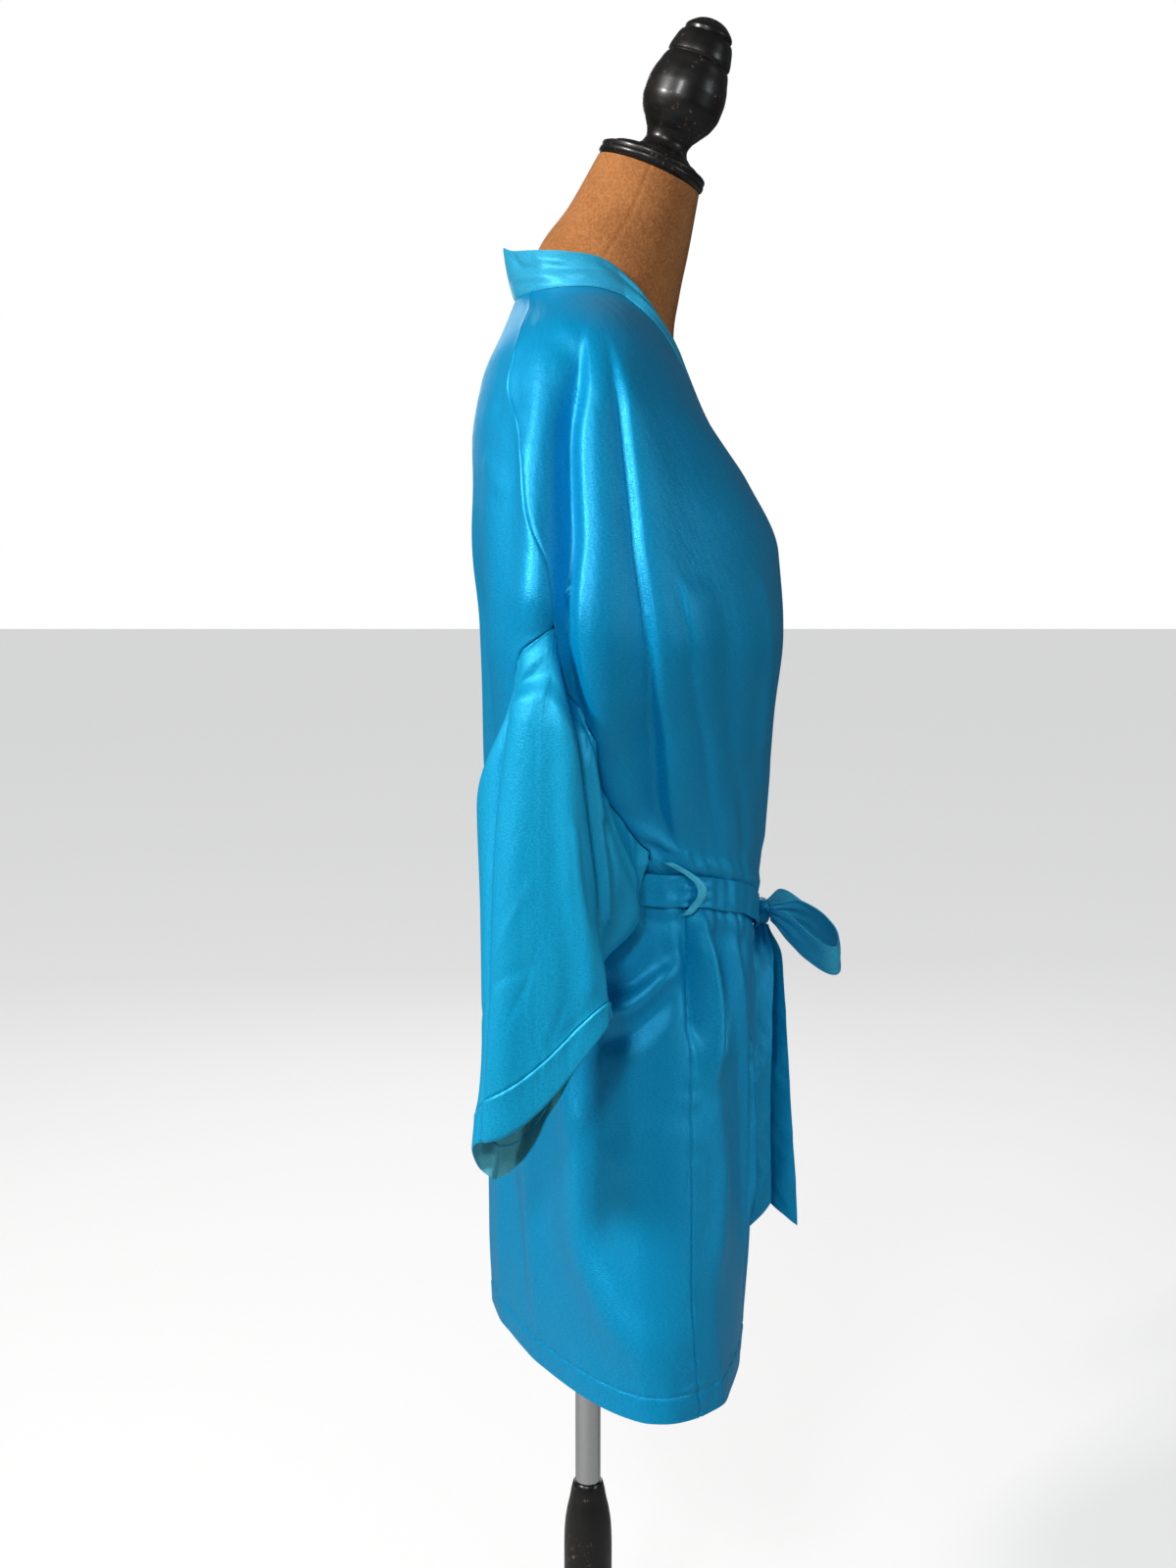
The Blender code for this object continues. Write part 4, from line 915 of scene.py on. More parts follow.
# %% Relief beside a seam and along a hem
SEAM_ALLOWANCE, SEAM_BITE = 0.006, 0.0010
PUCKER_PITCH, PUCKER_REACH = 0.019, 0.010
HEM_DEEP = 0.020
HEM_THICK, HEM_EDGE_SOFT = 0.0004, 0.0008
HEM_DRAW, HEM_BITE = 0.0007, 0.0011
HEM_PULL, HEM_PULL_PITCH, HEM_PULL_REACH = 0.0005, 0.017, 0.009


def seam_relief(distance, along, rise, draw, pucker):
    """Lifted beside the seam, drawn in at its line, and puckered along it."""
    lifted = rise * bell(distance, SEAM_ALLOWANCE)
    drawn = draw * bell(distance, SEAM_BITE)
    wander = 3.0 * np.sin(37 * along + 0.5) + 1.6 * np.sin(83 * along)
    uneven = 0.55 + 0.45 * np.sin(24 * along + 2.0)
    ripple = np.sin(2 * math.pi * along / PUCKER_PITCH + wander) * uneven
    reach = PUCKER_REACH * (0.7 + 0.3 * np.sin(61 * along + 1.0))
    return lifted - drawn + pucker * ripple * bell(distance, reach)


def hem_relief(above, along):
    """The turned-up hem: a double thickness below its stitched line, and small pulls along it."""
    doubled = HEM_THICK * (1 - ease(HEM_DEEP - HEM_EDGE_SOFT, HEM_DEEP + HEM_EDGE_SOFT, above))
    stitched = HEM_DRAW * bell(above - HEM_DEEP, HEM_BITE)
    pulls = HEM_PULL * np.sin(2 * math.pi * along / HEM_PULL_PITCH + 2.4 * np.sin(29 * along))
    return doubled - stitched + pulls * bell(above - HEM_DEEP, HEM_PULL_REACH)


# %% How finely a panel is divided
BODY_ROWS = 200
NEAR_EDGE = (0.0, 0.0005, 0.0011, 0.0019, 0.0030, 0.0045, 0.0065, 0.0090, 0.0120)
NEAR_STITCHES = (0.0165, 0.0182, 0.0192, 0.0200, 0.0208, 0.0218, 0.0235)
NEAR_ARMHOLE = (0.0, 0.0005, 0.0012, 0.0024)
FINER_BELOW = 0.0265
ARMHOLE_SOFT = 0.002


def body_heights():
    """The rows of a body panel, from the neck to the hem, with more along the hem's stitches."""
    even = np.linspace(NECK_HEIGHT, HEM_HEIGHT + FINER_BELOW, BODY_ROWS)
    hem = HEM_HEIGHT + np.array([*NEAR_STITCHES, *NEAR_EDGE])
    armhole = ARMHOLE_TOP - np.array(NEAR_ARMHOLE)
    return np.unique(np.concatenate([even, hem, armhole, [ARMHOLE_FOOT]]))[::-1]


def shares_across(columns, width, lean=0.0):
    """Shares from edge to edge of a panel about that wide, finer close to both edges."""
    close = np.array(NEAR_EDGE) / width
    even = np.linspace(0, 1, columns)
    even = close[-1] + (1 - 2 * close[-1]) * (even * (1 - lean) + (1 - (1 - even) ** 2) * lean)
    return np.concatenate([close[:-1], even, (1 - close[:-1])[::-1]])


def side_edge(height, front):
    """The angle of a panel's outer edge: shoulder seam, armhole, then side seam.

    The back's edge goes a little under the front's, so that no light passes between them.
    """
    hole = ARMHOLE_FRONT if front else ARMHOLE_BACK
    whole = SHOULDER_SEAM + hole + SIDE_SEAM
    below_top = ease(ARMHOLE_TOP + ARMHOLE_SOFT, ARMHOLE_TOP, height)
    above_foot = ease(ARMHOLE_FOOT - ARMHOLE_SOFT, ARMHOLE_FOOT, height)
    at_hole = below_top * above_foot
    away = -SEAM_APART if front else SEAM_APART * at_hole - SEAM_LAP * (1 - at_hole)
    return seam_angle(whole, height) + np.degrees(away / MEAN_RADIUS)


# %% [markdown]
# ## Front and back panels
#
# A front runs from its shoulder, armhole and side seams to the edge where the collar is sewn on.
# Past the centre the right front lies over the left one, so each is moved a little off the rings
# there. The back is one piece from side to side.

# %% Relief of the panels
LAP_LIFT = 0.0018
SIDE_RADIUS, EDGE_RADIUS, HEM_RADIUS = 0.20, 0.15, 0.17
SIDE_RISE, SHOULDER_RISE = 0.0005, 0.0015
SIDE_DRAW = 0.0011
SIDE_PUCKER, SKIRT_PUCKER = 0.00035, 0.00045
# A seam's row is how far the cloth is lifted beside it, drawn in at it, and puckered along it.
FRONT_EDGE_SEAM = (0.0004, 0.0006, 0.00025)


def lap_lift(own_angle, height):
    """How far a front is moved at the wrap, so that the right one lies over the left one."""
    return LAP_LIFT * ease(62.0, 48.0, own_angle) * ease(1.30, 1.22, height)


def beside_side_edge(angle, edge, height):
    """The relief beside a panel's shoulder, armhole and side seams."""
    distance = np.abs(angle - edge) * np.radians(SIDE_RADIUS)
    shoulder = ease(ARMHOLE_TOP - 0.01, ARMHOLE_TOP + 0.01, height)
    skirt = ease(ARMHOLE_FOOT + 0.005, ARMHOLE_FOOT - 0.01, height)
    rise = SIDE_RISE + (SHOULDER_RISE - SIDE_RISE) * shoulder
    return seam_relief(distance, height, rise, SIDE_DRAW, SIDE_PUCKER + SKIRT_PUCKER * skirt)


# %% Cut the panels
FRONT_COLUMNS, FRONT_WIDE = 128, 0.30
OUTER_FINER = 0.55
BACK_COLUMNS, BACK_WIDE = 170, 0.45
UNDER_SEAM = 0.00015


def front_panel(label, side):
    height = body_heights()
    outer, inner = side_edge(height, front=True), seam_angle(FRONT_EDGE, height)
    share = shares_across(FRONT_COLUMNS, FRONT_WIDE, OUTER_FINER)
    angle = inner[:, None] + (outer - inner)[:, None] * share
    tall = height[:, None] * np.ones(len(share))
    relief = beside_side_edge(angle, outer[:, None], tall)
    relief += seam_relief((angle - inner[:, None]) * np.radians(EDGE_RADIUS), tall, *FRONT_EDGE_SEAM)
    relief += hem_relief(tall - HEM_HEIGHT, np.radians(angle) * HEM_RADIUS)
    points = robe(side * angle, tall, side * lap_lift(angle, tall) + relief)
    return sheet(f"front_{label}_cloth", points, inward=UPRIGHT_LINE)


def back_panel():
    """The back. Close to its side edges it lies lower by a wall's thickness, under the front's."""
    height = body_heights()
    edge = side_edge(height, front=False)
    share = shares_across(BACK_COLUMNS, BACK_WIDE)
    angle = edge[:, None] + (360.0 - 2 * edge)[:, None] * share
    tall = height[:, None] * np.ones(len(share))
    own = 180.0 - np.abs(angle_apart(angle, 180.0))
    relief = beside_side_edge(own, edge[:, None], tall)
    under = (own - edge[:, None]) * np.radians(SIDE_RADIUS) / (SEAM_LAP * 1.3)
    relief -= (CLOTH_WALL + UNDER_SEAM) * np.exp(-(under**4))
    relief += hem_relief(tall - HEM_HEIGHT, np.radians(angle) * HEM_RADIUS)
    return sheet("back_cloth", robe(angle, tall, relief), inward=UPRIGHT_LINE)


wear(back_panel(), "back")
for label, side in SIDES:
    wear(front_panel(label, side), f"front_{label}")


# %% [markdown]
# ## Collar
#
# The collar is a folded band, sewn on round the neck and down both front edges. At the back it
# stands up and away from the form, and over the chest it lies flat. Its two halves are one band
# with a seam at the centre back. It is a little puffed between its seam and its fold, and it has
# long slack creases where it turns from standing to lying.

# %% Cut the collar
COLLAR_WIDTH = 0.038
COLLAR_GAP = 0.0006
COLLAR_FOOT_GAP = 0.0004
COLLAR_PUFF, COLLAR_SEAM_DRAW = 0.0011, 0.0006
COLLAR_WALL = 0.0011
COLLAR_COLUMNS, NECK_STATIONS = 20, 90
NECK_RADIUS = 0.05
# Columns: angle, height, rise, inward, across
COLLAR_PATH = (
    (180.0, 1.352, 0.0420, -0.009, 0.000),
    (165.0, 1.352, 0.0375, -0.003, 0.000),
    (135.0, 1.352, 0.0330, 0.004, 0.000),
    (110.0, 1.352, 0.0290, 0.009, 0.000),
    (90.0, 1.352, 0.0260, 0.012, 0.000),
    (75.0, 1.352, 0.0250, 0.013, 0.001),
    (62.0, 1.352, 0.0230, 0.013, 0.004),
)
# Each is a line of (metres from the centre back, share of the width) marks, its rise, then widths.
COLLAR_CREASES = (
    (((0.014, 1.00), (0.024, 0.72), (0.044, 0.55), (0.066, 0.50)), -2.4, 4, 4),
    (((0.020, 0.35), (0.040, 0.42), (0.062, 0.34), (0.090, 0.22)), 1.8, 4, 4),
    (((0.046, 0.92), (0.066, 0.78), (0.092, 0.74)), 1.6, 4, 4),
    (((0.060, 0.62), (0.090, 0.52), (0.120, 0.55)), -1.7, 4, 4),
    (((0.085, 0.30), (0.115, 0.40), (0.150, 0.36)), 1.6, 5, 4),
    (((0.110, 0.85), (0.135, 0.72), (0.170, 0.70)), -1.4, 4, 4),
    (((0.140, 0.35), (0.175, 0.50), (0.215, 0.55)), 1.3, 5, 4),
    (((0.180, 0.85), (0.215, 0.72), (0.260, 0.74)), -1.1, 5, 5),
)


# %% Lay the collar
def collar_path():
    """The stations of one half of the collar: round the neck, then down the front edge."""
    table = np.array(COLLAR_PATH)
    start = 180.0 - math.degrees(SEAM_APART / NECK_RADIUS)
    angles = np.linspace(start, table[-1, 0], NECK_STATIONS)
    neck = through(table[::-1, 0], table[::-1], angles)
    height = body_heights()[1:]
    stand = 1 - ease(NECK_HEIGHT, 1.290, height)
    rise, inward, across = table[-1, 2:]
    wide = COLLAR_WIDTH + (across - COLLAR_WIDTH) * stand
    front = (seam_angle(FRONT_EDGE, height), height, rise * stand, inward * stand, wide)
    return np.concatenate([neck, np.stack(front, axis=-1)])


def collar_half(label, side):
    """Half of the band, one line of points for each share of its width, from its seam to its fold."""
    path = collar_path()
    angle, height, rise, inward, across = (path[:, k] for k in range(5))
    ring = rows_at(ROBE_RINGS, height)
    deep = np.maximum(ring[:, 2] - ring[:, 4], NECK_RADIUS)
    standing = height > NECK_HEIGHT - 1e-6
    run = lengths(robe(side * angle, height), 0)
    lines = []
    for part in np.linspace(0, 1, COLLAR_COLUMNS):
        step = np.where(standing, 0.0, COLLAR_GAP + part * across)
        turned = angle - np.degrees(step / deep)
        creased = crease_relief(COLLAR_CREASES, run, part + 0 * run, 1.0, COLLAR_WIDTH)
        puff = COLLAR_PUFF * math.sqrt(max(math.sin(math.pi * part), 0.0))
        puff -= COLLAR_SEAM_DRAW * math.exp(-((part / 0.04) ** 2))
        ripple = unevenness(run * 1.4, part * 0.05, 0.0016) * math.sin(math.pi * min(part + 0.15, 1.0))
        lift = puff + creased + ripple
        off_rings = side * lap_lift(turned, height) + np.where(standing, 0.0, lift)
        line = robe(side * turned, height, off_rings)
        level = unit(np.stack([-line[:, 0], ring[:, 2] - line[:, 1], 0 * height], axis=-1))
        line = line + level * (inward * part - np.where(standing, lift, 0.0))[:, None]
        line[:, 2] += np.where(standing, COLLAR_FOOT_GAP, 0.0) + rise * part
        lines.append(line)
    points = np.stack(lines, axis=1)
    # The collar's satin is a lighter copy, with painted light in its colour.
    finishes = (COLLAR_AND_BOW_SATIN_PAINTED_LIT, COLLAR_AND_BOW_SATIN_PAINTED_LIT)
    return sheet(f"collar_{label}_band", points, COLLAR_WALL, inward=UPRIGHT_LINE, finishes=finishes)


for label, side in SIDES:
    wear(collar_half(label, side), f"collar_{label}")


# %% [markdown]
# ## Sleeves
#
# Each sleeve is a wide straight tube set into an armhole that hangs half way down the arm. With no
# arm in it the tube folds flat: its outer layer hangs from the top of the armhole like a curtain,
# the edge of that layer turns sharply under, and a dark hollow opens beside it. The tube is lofted
# from the armhole through a few rings, and its folds are drawn one by one, as the body's were.

# %% The sleeve's rings and creases
# Columns: share of the length, then where the ring passes the outside, front, inside and back.
SLEEVE_RINGS = (
    (0.20, (-0.246, 0.030, 1.035), (-0.232, -0.006, 0.975), (-0.172, -0.029, 0.886), (-0.190, 0.075, 0.955)),
    (0.42, (-0.248, 0.033, 0.962), (-0.238, -0.005, 0.920), (-0.186, 0.000, 0.852), (-0.206, 0.075, 0.890)),
    (0.70, (-0.249, 0.036, 0.868), (-0.238, -0.012, 0.868), (-0.195, 0.024, 0.785), (-0.216, 0.076, 0.805)),
    (1.00, (-0.248, 0.037, 0.766), (-0.234, -0.018, 0.828), (-0.199, 0.044, 0.712), (-0.226, 0.083, 0.733)),
)
SLEEVE_PER_TURN = 0.0013
SLEEVE_LONG, SLEEVE_ROUND = 0.30, 0.5
SLEEVE_COLUMNS, SLEEVE_ROWS, CUFF_ROWS = 206, 116, 30
SLEEVE_TURNS = np.linspace(0, 360, SLEEVE_COLUMNS, endpoint=False)
CUFF_START = 0.90
SLEEVE_CLEAR, SLEEVE_PROUD, SLEEVE_SUNK = 0.0065, 0.0010, 0.0009
SLEEVE_TUCK, SLEEVE_TUCK_TURN, SLEEVE_TUCK_SPREAD = 0.024, 138.0, 38.0
# Each is a line of (turn, share down) marks, then its rise, front width and back width.
SLEEVE_CREASES = (
    (((26, -0.05), (50, 0.05), (70, 0.14), (82, 0.27), (98, 0.42), (108, 0.55)), -5.0, 9, 7),
    (((66, 0.02), (90, 0.14), (104, 0.27), (118, 0.42)), 4.0, 8, 9),
    (((98, 0.16), (114, 0.28), (130, 0.36)), -5.0, 9, 8),
    (((106, 0.06), (124, 0.12), (148, 0.14)), 3.0, 8, 9),
    (((4, 0.06), (10, 0.28), (20, 0.50), (30, 0.72), (34, 0.98)), -1.6, 13, 16),
    (((352, 0.10), (346, 0.34), (338, 0.62), (334, 0.95)), 1.4, 15, 16),
    (((48, 0.34), (54, 0.58), (52, 0.86)), 1.6, 12, 12),
    (((6, 0.58), (356, 0.68), (338, 0.76)), -0.7, 5, 4),
    (((320, 0.62), (340, 0.56), (356, 0.50)), 0.5, 5, 6),
    (((28, 0.80), (12, 0.88), (352, 0.90)), -0.6, 5, 5),
    (((130, 0.20), (138, 0.46), (140, 0.72)), -4.0, 14, 16),
    (((236, 0.20), (240, 0.60), (242, 1.00)), 3.0, 18, 18),
    (((262, 0.15), (268, 0.50), (266, 0.90)), -3.5, 14, 14),
    (((200, 0.20), (206, 0.55), (204, 0.95)), -2.5, 16, 16),
    (((232, 0.72), (226, 0.90), (222, 1.10)), -7.0, 9, 12),
    (((186, 0.75), (190, 0.92), (192, 1.10)), 5.0, 9, 10),
    (((158, 0.80), (162, 0.95), (163, 1.10)), -4.0, 9, 9),
)
SLEEVE_LAPS = (
    (((66, 1.10), (69, 1.00), (80, 0.76), (86, 0.60), (90, 0.42), (80, 0.31), (62, 0.20), (42, 0.08),
      (22, 0.02), (4, -0.04)), 1.2, 6, 24, 15, 14),
    (((334, 0.06), (330, 0.15), (327, 0.22), (321, 0.33), (317, 0.44), (313, 0.69), (309, 0.87), (307, 1.10)),
     8.0, 16, 44, 10, 13),
)


# %% The sleeve's grid
def armhole_ring(side):
    """The loop on which a sleeve is set: a point for each turn round the sleeve, 0 at the top."""
    turn = SLEEVE_TURNS
    down = np.where(turn <= 180, turn, 360 - turn) / 180
    height = ARMHOLE_TOP - SEAM_APART - (ARMHOLE_TOP - ARMHOLE_FOOT - 2 * SEAM_APART) * down
    front, back = seam_angle(ARMHOLE_FRONT, height), seam_angle(ARMHOLE_BACK, height)
    clear = np.degrees(SEAM_APART / SIDE_RADIUS)
    middle = (front + back) / 2
    angle = np.where(turn <= 180, np.minimum(front + clear, middle), np.maximum(back - clear, middle))
    return robe(side * angle, height, SLEEVE_PROUD * down - SLEEVE_SUNK)


def clear_of_body(points, clear):
    """The points, moved out from the body where they are closer to the robe than clear."""
    height = points[..., 2]
    level = rows_at(ROBE_RINGS, height)[..., 2]
    away = np.stack([points[..., 0], points[..., 1] - level, 0 * height], axis=-1)
    reach = np.hypot(away[..., 0], away[..., 1])
    angle = np.degrees(np.arctan2(-away[..., 0], -away[..., 1]))
    cloth = robe(angle, height)
    least = np.hypot(cloth[..., 0], cloth[..., 1] - level) + clear
    move = np.where(clear > 0, np.maximum(least - reach, 0.0), 0.0)
    return points + unit(away) * move[..., None]


def sleeve_grid(side, downs):
    """Points of a sleeve's outer face, and the ways out of it.

    There is a row for each share of the sleeve's length, and a column for each turn.
    """
    wave = np.radians(SLEEVE_TURNS)[:, None]
    mirror = np.array([side, 1.0, 1.0])
    rings, knots = [armhole_ring(side)], [0.0]
    for down, *marks in SLEEVE_RINGS:
        outer, front, inner, back = (np.array(mark) * mirror for mark in marks)
        middle = (outer + front + inner + back) / 4
        across, along = (outer - inner) / 2, (front - back) / 2
        pinch = (outer + inner - front - back) / 4
        oval = across * np.cos(wave) + along * np.sin(wave) + pinch * np.cos(2 * wave)
        rings.append(middle + oval)
        knots.append(down)
    points = through(knots, np.stack(rings), downs)
    turn, down = SLEEVE_TURNS[None, :], downs[:, None]
    tuck = bell(turn - SLEEVE_TUCK_TURN, SLEEVE_TUCK_SPREAD)
    points[..., 2] += SLEEVE_TUCK * tuck * ease(0.6, 1.0, down)
    around = np.roll(points, -1, axis=1) - np.roll(points, 1, axis=1)
    normal = unit(np.cross(np.gradient(points, axis=0), around)) * side
    stand = crease_relief(SLEEVE_CREASES, turn, down, SLEEVE_PER_TURN, SLEEVE_LONG, 0.10)
    stand += lap_relief(SLEEVE_LAPS, turn, down, SLEEVE_PER_TURN, SLEEVE_LONG, 0.08)
    stand += unevenness(np.radians(turn) * 0.1, down * SLEEVE_LONG, UNEVEN_DEPTH)
    stand *= ease(0.0, 0.05, down)
    clear = SLEEVE_CLEAR * ease(0.0, 0.06, down)
    return clear_of_body(points + normal * stand[..., None], clear), normal


# %% Sew on the sleeves and their cuffs
CUFF_WALL = 0.0010
CUFF_PROUD = 0.0004
CUFF_JOIN_TURN, CUFF_JOIN_DRAW, CUFF_JOIN_SPREAD = 27.0, 0.0007, 0.9
CUFF_FOLD_DRAW, CUFF_FOLD_REACH = 0.0008, 0.0012
# A seam's row is how far the cloth is lifted beside it, drawn in at it, and puckered along it.
ARMHOLE_SEAM = (0.0006, 0.0, 0.0004)
SLEEVE_END_SEAM = (0.0005, 0.0009, 0.0003)
CUFF_SEAM = (0.0007, 0.0011, 0.0003)
# The sleeve's satin is a lighter copy, with painted light in its colour.
SLEEVE_FINISHES = (SLEEVE_SATIN_PAINTED_LIT, WRONG_SIDE)
CLOSE_ROWS = np.array(NEAR_EDGE) / SLEEVE_LONG
ROUND_SLEEVE = np.linspace(0, SLEEVE_ROUND, SLEEVE_COLUMNS, endpoint=False)[None, :]


def sleeve(label, side):
    """A sleeve, from the armhole to the cuff's seam."""
    even = np.linspace(CLOSE_ROWS[-1], CUFF_START - CLOSE_ROWS[-1], SLEEVE_ROWS)
    downs = np.concatenate([CLOSE_ROWS[:-1], even, (CUFF_START - CLOSE_ROWS[:-1])[::-1]])
    points, out = sleeve_grid(side, downs)
    from_top = downs[:, None] * SLEEVE_LONG
    from_cuff = (CUFF_START - downs)[:, None] * SLEEVE_LONG
    relief = seam_relief(from_cuff, ROUND_SLEEVE, *SLEEVE_END_SEAM)
    relief += seam_relief(from_top, ROUND_SLEEVE, *ARMHOLE_SEAM) * ease(0, 0.001, from_top)
    points = points + out * relief[..., None]
    middle = tuple(points.mean(axis=(0, 1)))
    return sheet(f"sleeve_{label}_cloth", points, tube=True, inward=middle, finishes=SLEEVE_FINISHES)


def cuff(label, side):
    """The band at a sleeve's end, with the line where its own two ends are joined."""
    even = np.linspace(CUFF_START + CLOSE_ROWS[-1], 1.0, CUFF_ROWS)
    downs = np.concatenate([CUFF_START + CLOSE_ROWS[:-1], even])
    points, out = sleeve_grid(side, downs)
    from_seam = (downs - CUFF_START)[:, None] * SLEEVE_LONG
    from_fold = (1.0 - downs)[:, None] * SLEEVE_LONG
    relief = seam_relief(from_seam, ROUND_SLEEVE, *CUFF_SEAM) + CUFF_PROUD
    relief -= CUFF_JOIN_DRAW * bell(angle_apart(SLEEVE_TURNS, CUFF_JOIN_TURN), CUFF_JOIN_SPREAD)
    relief -= CUFF_FOLD_DRAW * bell(from_fold, CUFF_FOLD_REACH)
    points = points + out * relief[..., None]
    middle = tuple(points.mean(axis=(0, 1)))
    return sheet(f"cuff_{label}_band", points, CUFF_WALL, True, middle, SLEEVE_FINISHES)


for label, side in SIDES:
    wear(sleeve(label, side), f"sleeve_{label}")
    wear(cuff(label, side), f"cuff_{label}")


# %% [markdown]
# ## Belt, loops and bow
#
# The belt is a narrow folded band of the same satin. It lies on the proudest folds under it, passes
# through a thin loop at each side seam, sags to the front and is tied there in a small soft bow,
# whose loops hang under their own weight. Both ends are cut on a slant. A band that is folded and
# pressed is fuller in its middle than at its edges.

# %% Strips of belt
BELT_WALL = 0.0012
BELT_CLEAR = 0.0010
BELT_END_ANGLE = 5.2
BELT_STATIONS, BELT_COLUMNS = 420, 15
CARRIER_WIDTH = 0.007
CARRIER_TOP, CARRIER_FOOT = 0.9305, 0.8885
CARRIER_ANGLE, CARRIER_DROOP = 72.5, 5.5
CARRIER_CLEAR, CARRIER_GAP = 0.0042, 0.0006
CARRIER_STATIONS, CARRIER_COLUMNS = 60, 7
CARRIER_FULL = 0.0004
BELT_TURN_Y = -0.02


def pressed(share, run, depth=0.0005):
    """The fullness of a folded band: pressed thin at both edges, and never quite flat along it."""
    full = depth * (1 - np.abs(2 * share) ** 4)
    slack = 0.0006 * np.sin(88 * run + 5 * share) * np.sin(31 * run + 1.0)
    return full + slack + 0.0003 * np.sin(240 * run - 9 * share) * np.sin(57 * run)


def strip(name, middle, across, columns, relief, finish):
    """A strip of belt along a line of middles, with a vector across it at each."""
    share = np.linspace(-0.5, 0.5, columns)[None, :]
    run = lengths(middle, 0)[:, None]
    out = unit(np.cross(np.gradient(middle, axis=0), across))
    rise = pressed(share, run) + relief(share, run)
    points = middle[:, None] + across[:, None] * share[..., None]
    points = points + out[:, None] * rise[..., None]
    return sheet(name, points, BELT_WALL, finishes=(finish, finish))


# %% The belt round the waist
def belt_outer(angle):
    """The plan of the belt's outer face: it lies on the proudest cloth under it."""
    middle = belt_middle(angle)
    lift = lap_lift(np.abs(angle_apart(angle, 0.0)), middle)
    centre_y = rows_at(ROBE_RINGS, middle)[..., 2]
    proud = np.zeros(np.shape(angle))
    for share in np.linspace(-0.5, 0.5, 5):
        cloth = robe(angle, middle + share * BELT_WIDTH, lift)
        proud = np.maximum(proud, np.hypot(cloth[..., 0], cloth[..., 1] - centre_y))
    reach = proud + BELT_CLEAR + BELT_WALL
    turn = np.radians(angle)
    return np.stack([-reach * np.sin(turn), centre_y - reach * np.cos(turn), middle], axis=-1)


def belt_waist():
    """The belt goes round in one strip, with small creases where the side loops hold it."""
    angle = np.linspace(BELT_END_ANGLE, 360 - BELT_END_ANGLE, BELT_STATIONS)
    outer = belt_outer(angle)
    share = np.linspace(-0.5, 0.5, BELT_COLUMNS)
    run = lengths(outer, 0)[:, None]
    own = np.abs(angle_apart(angle, 0.0))[:, None]
    held = bell(own - CARRIER_ANGLE + CARRIER_DROOP, 5.0)
    out = unit((outer - (0, BELT_TURN_Y, 0)) * (1, 1, 0))
    rise = pressed(share, run) + 0.0008 * held * np.sin(2 * math.pi * (3.1 * share + 16 * run))
    points = outer[:, None] + out[:, None] * rise[..., None]
    edge = 0.0005 * np.sin(46 * run + 0.7) + 0.0004 * np.sin(119 * run) - 0.0012 * held * share
    points[..., 2] += (share * BELT_WIDTH)[None, :] + edge
    return sheet("belt_waist_cloth", points, BELT_WALL, inward=UPRIGHT_LINE, finishes=(SATIN, SATIN))


# %% The carriers
def carrier(label, side):
    """A thin loop from the side seam over the belt, drooping to the front."""
    share = np.linspace(0, 1, CARRIER_STATIONS)
    height = CARRIER_TOP + (CARRIER_FOOT - CARRIER_TOP) * share
    bow = np.sin(np.pi * share)
    angle = CARRIER_ANGLE - CARRIER_DROOP * bow
    cloth = robe(side * angle, height)
    centre_y = rows_at(ROBE_RINGS, height)[..., 2]
    near = np.hypot(cloth[:, 0], cloth[:, 1] - centre_y) + CARRIER_GAP + BELT_WALL
    belt = belt_outer(side * angle)
    far = np.hypot(belt[:, 0], belt[:, 1] - centre_y) + CARRIER_CLEAR
    reach = near + np.maximum(far - near, 0.0) * bow**0.35
    lines = []
    for edge in np.linspace(-0.5, 0.5, CARRIER_COLUMNS):
        turn = side * (np.radians(angle) + edge * CARRIER_WIDTH / reach)
        full = reach + CARRIER_FULL * (1 - (2 * edge) ** 2)
        lines.append(np.stack((-full * np.sin(turn), centre_y - full * np.cos(turn), height), axis=-1))
    points = np.stack(lines, axis=1)
    # The loop's satin is a brighter copy, with a painted highlight in its colour.
    finishes = (LOOP_SATIN_PAINTED_LIT, LOOP_SATIN_PAINTED_LIT)
    return sheet(f"carrier_{label}_loop", points, BELT_WALL, inward=UPRIGHT_LINE, finishes=finishes)


wear(belt_waist(), "belt_waist")
for label, side in SIDES:
    wear(carrier(label, side), f"carrier_{label}")

# %% The knot
KNOT_MIDDLE = np.array([0.0, -0.1432, 0.857])
KNOT_HALF = (0.0105, 0.0075, 0.0105)
KNOT_SQUEEZE = 0.45
KNOT_TURNS, KNOT_COLUMNS, KNOT_SQUARE = 96, 17, 3.2


def knot():
    """The short turn of belt that holds the bow: a band wrapped over and under, its ends open."""
    turn = np.linspace(0, 2 * math.pi, KNOT_TURNS, endpoint=False)
    half_x, half_y, half_z = KNOT_HALF
    corners = np.abs(np.cos(turn)) ** KNOT_SQUARE + np.abs(np.sin(turn)) ** KNOT_SQUARE
    squared = corners ** (-1 / KNOT_SQUARE)
    rows = []
    for part in np.linspace(-1, 1, KNOT_COLUMNS):
        narrow = 1 - 0.975 * (max(abs(part) - 0.55, 0.0) / 0.45) ** 2.4
        narrow = narrow * (1 + 0.03 * np.sin(3 * turn + 4 * part))
        fold = 1 - 0.05 * bell(part - 0.35 * np.sin(turn + 0.4), 0.16)
        reach = squared * narrow * fold
        x = half_x * (part + 0.05 * np.sin(2 * turn)) * 0.95
        y, z = reach * half_y * np.cos(turn), reach * half_z * np.sin(turn)
        rows.append(np.stack([x, y, z], axis=-1))
    points = KNOT_MIDDLE + np.stack(rows)
    return sheet("knot_cloth", points, BELT_WALL, True, tuple(KNOT_MIDDLE), (SATIN, SATIN))


